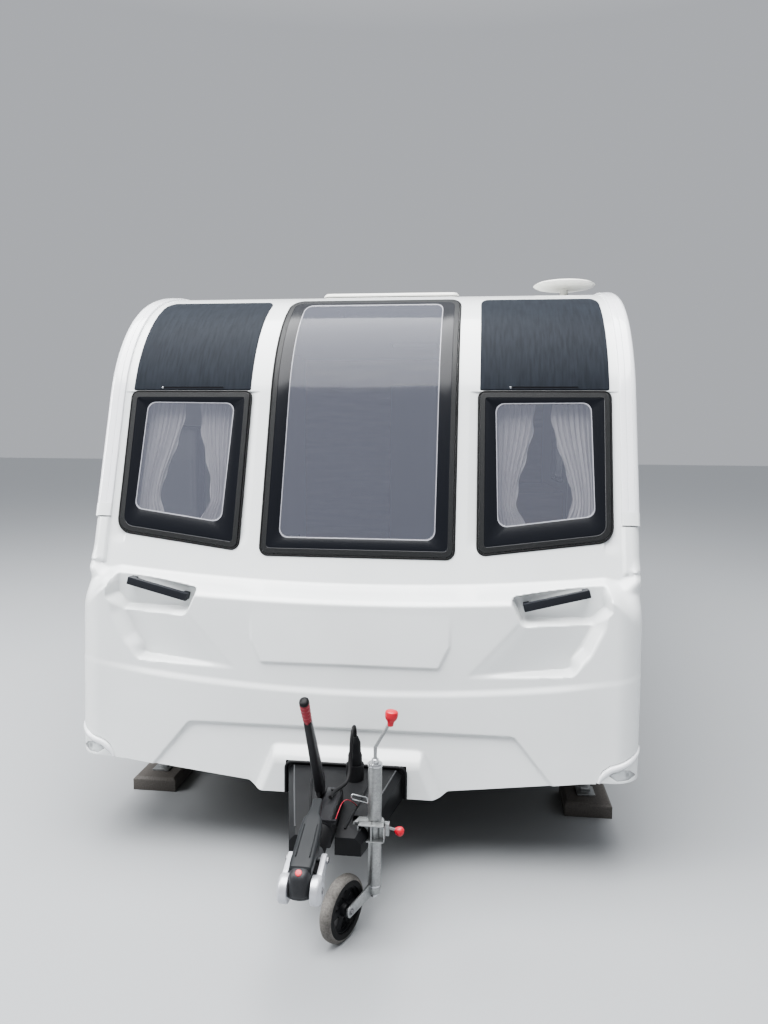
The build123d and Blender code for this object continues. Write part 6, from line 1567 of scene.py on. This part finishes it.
# nodes whose own shape is right, with their finish and the width of their rounded edges
dressTable = {
    "side_wall_near": ("wallPaint", 0.0), "side_wall_off": ("wallPaint", 0.0), "roof_panel": ("roofPaint", 0.0),
    "rear_panel": ("wallPaint", 0.003), "floor_panel": ("board", 0.0), "locker_bays": ("darkCabin", 0.0),
    "side_skirts": ("whitePlastic", 0.003), "side_window_panes": ("smokedAcrylic", 0.0),
    "side_window_frames": ("blackPlastic", 0.0), "roof_fittings": ("whitePlastic", 0.002),
    "front_lamps": ("clearLens", 0.0), "front_lamp_housings": ("gelcoat", 0.002),
    "side_vents": ("whitePlastic", 0.001), "chassis_rails": ("galvanised", 0.001),
    "drawbar_members": ("galvanised", 0.001), "axle": ("galvanised", 0.001),
    "drawbar_cover": ("blackPlastic", 0.003), "overrun_housing": ("blackPaint", 0.002),
    "drawtube_gaiter": ("rubber", 0.0), "coupling_head": ("castIron", 0.002),
    "handbrake_lever": ("blackPaint", 0.002), "tow_plug": ("blackPlastic", 0.001),
    "jockey_outer_tube": ("galvanised", 0.001), "jockey_inner_tube": ("brightSteel", 0.0),
    "jockey_fork": ("galvanised", 0.001), "jockey_hub": ("blackPlastic", 0.001),
    "steady_pads": ("padPlastic", 0.002), "steady_leg_front_near": ("galvanised", 0.001),
    "steady_leg_front_off": ("galvanised", 0.001), "steady_leg_rear_near": ("galvanised", 0.001),
    "steady_leg_rear_off": ("galvanised", 0.001), "rim_near": ("alloy", 0.001), "rim_off": ("alloy", 0.001),
    "entrance_door": ("wallPaint", 0.001), "door_pane": ("smokedAcrylic", 0.0),
    "gas_locker_door": ("wallPaint", 0.001), "battery_lid": ("whitePlastic", 0.001),
    "cassette_door": ("wallPaint", 0.001), "door_hinges": ("brightSteel", 0.0),
    "cabin_furniture": ("cabinetWood", 0.002),
}
for node, (paint, width) in dressTable.items():
    if width > 0:
        dressed(node, paint, width)
    else:
        paintNode(node, paint)
print("nodes dressed")


# cords, on the same routes as their solids
def freeCord(name, points, diameter, paint, body):
    curve = bpy.data.curves.new(name, "CURVE")
    curve.dimensions = "3D"
    curve.bevel_depth = diameter / 2
    curve.bevel_resolution = 5
    curve.use_fill_caps = True
    spline = curve.splines.new("NURBS")
    spline.points.add(len(points) - 1)
    for point, place in zip(spline.points, points):
        point.co = (*place, 1.0)
    spline.order_u = 3
    spline.use_endpoint_u = True
    curve.resolution_u = 16
    obj = bpy.data.objects.new(name, curve)
    bpy.context.scene.collection.objects.link(obj)
    curve.materials.append(paints[paint])
    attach(obj, body)
    return obj


plugLead = {"diameter": 0.013, "route": [
    (0.050, -2.345, 0.566), (0.050, -2.345, 0.600), (0.049, -2.372, 0.622), (0.047, -2.402, 0.603),
    (0.046, -2.418, 0.560), (0.047, -2.434, 0.498), (0.044, -2.474, 0.450), (0.024, -2.520, 0.447),
    (0.006, -2.560, 0.448), (0.002, -2.600, 0.447)]}
lead = freeCord("towLead", plugLead["route"], plugLead["diameter"], "rubber", "caravan")
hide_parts("tow_lead")
breakaway = {"diameter": 0.003, "route": [
    (0.084, -2.524, 0.386), (0.076, -2.546, 0.408), (0.058, -2.574, 0.432), (0.049, -2.620, 0.444),
    (0.047, -2.680, 0.446), (0.044, -2.728, 0.434)]}
cable = freeCord("breakawayCable", breakaway["route"], breakaway["diameter"], "cableRed", "caravan")
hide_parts("breakaway_cable")


def splineLength(obj):
    # the line itself, read from a copy with no thickness
    line = bpy.data.objects.new("lineCopy", obj.data.copy())
    line.data.bevel_depth = 0.0
    mesh = bpy.data.meshes.new_from_object(line)
    bpy.data.objects.remove(line)
    points = [v.co.copy() for v in mesh.vertices]
    return sum((b - a).length for a, b in zip(points, points[1:]))


splineLength(lead)
splineLength(cable)
print("cords")

bpy.context.view_layer.update()
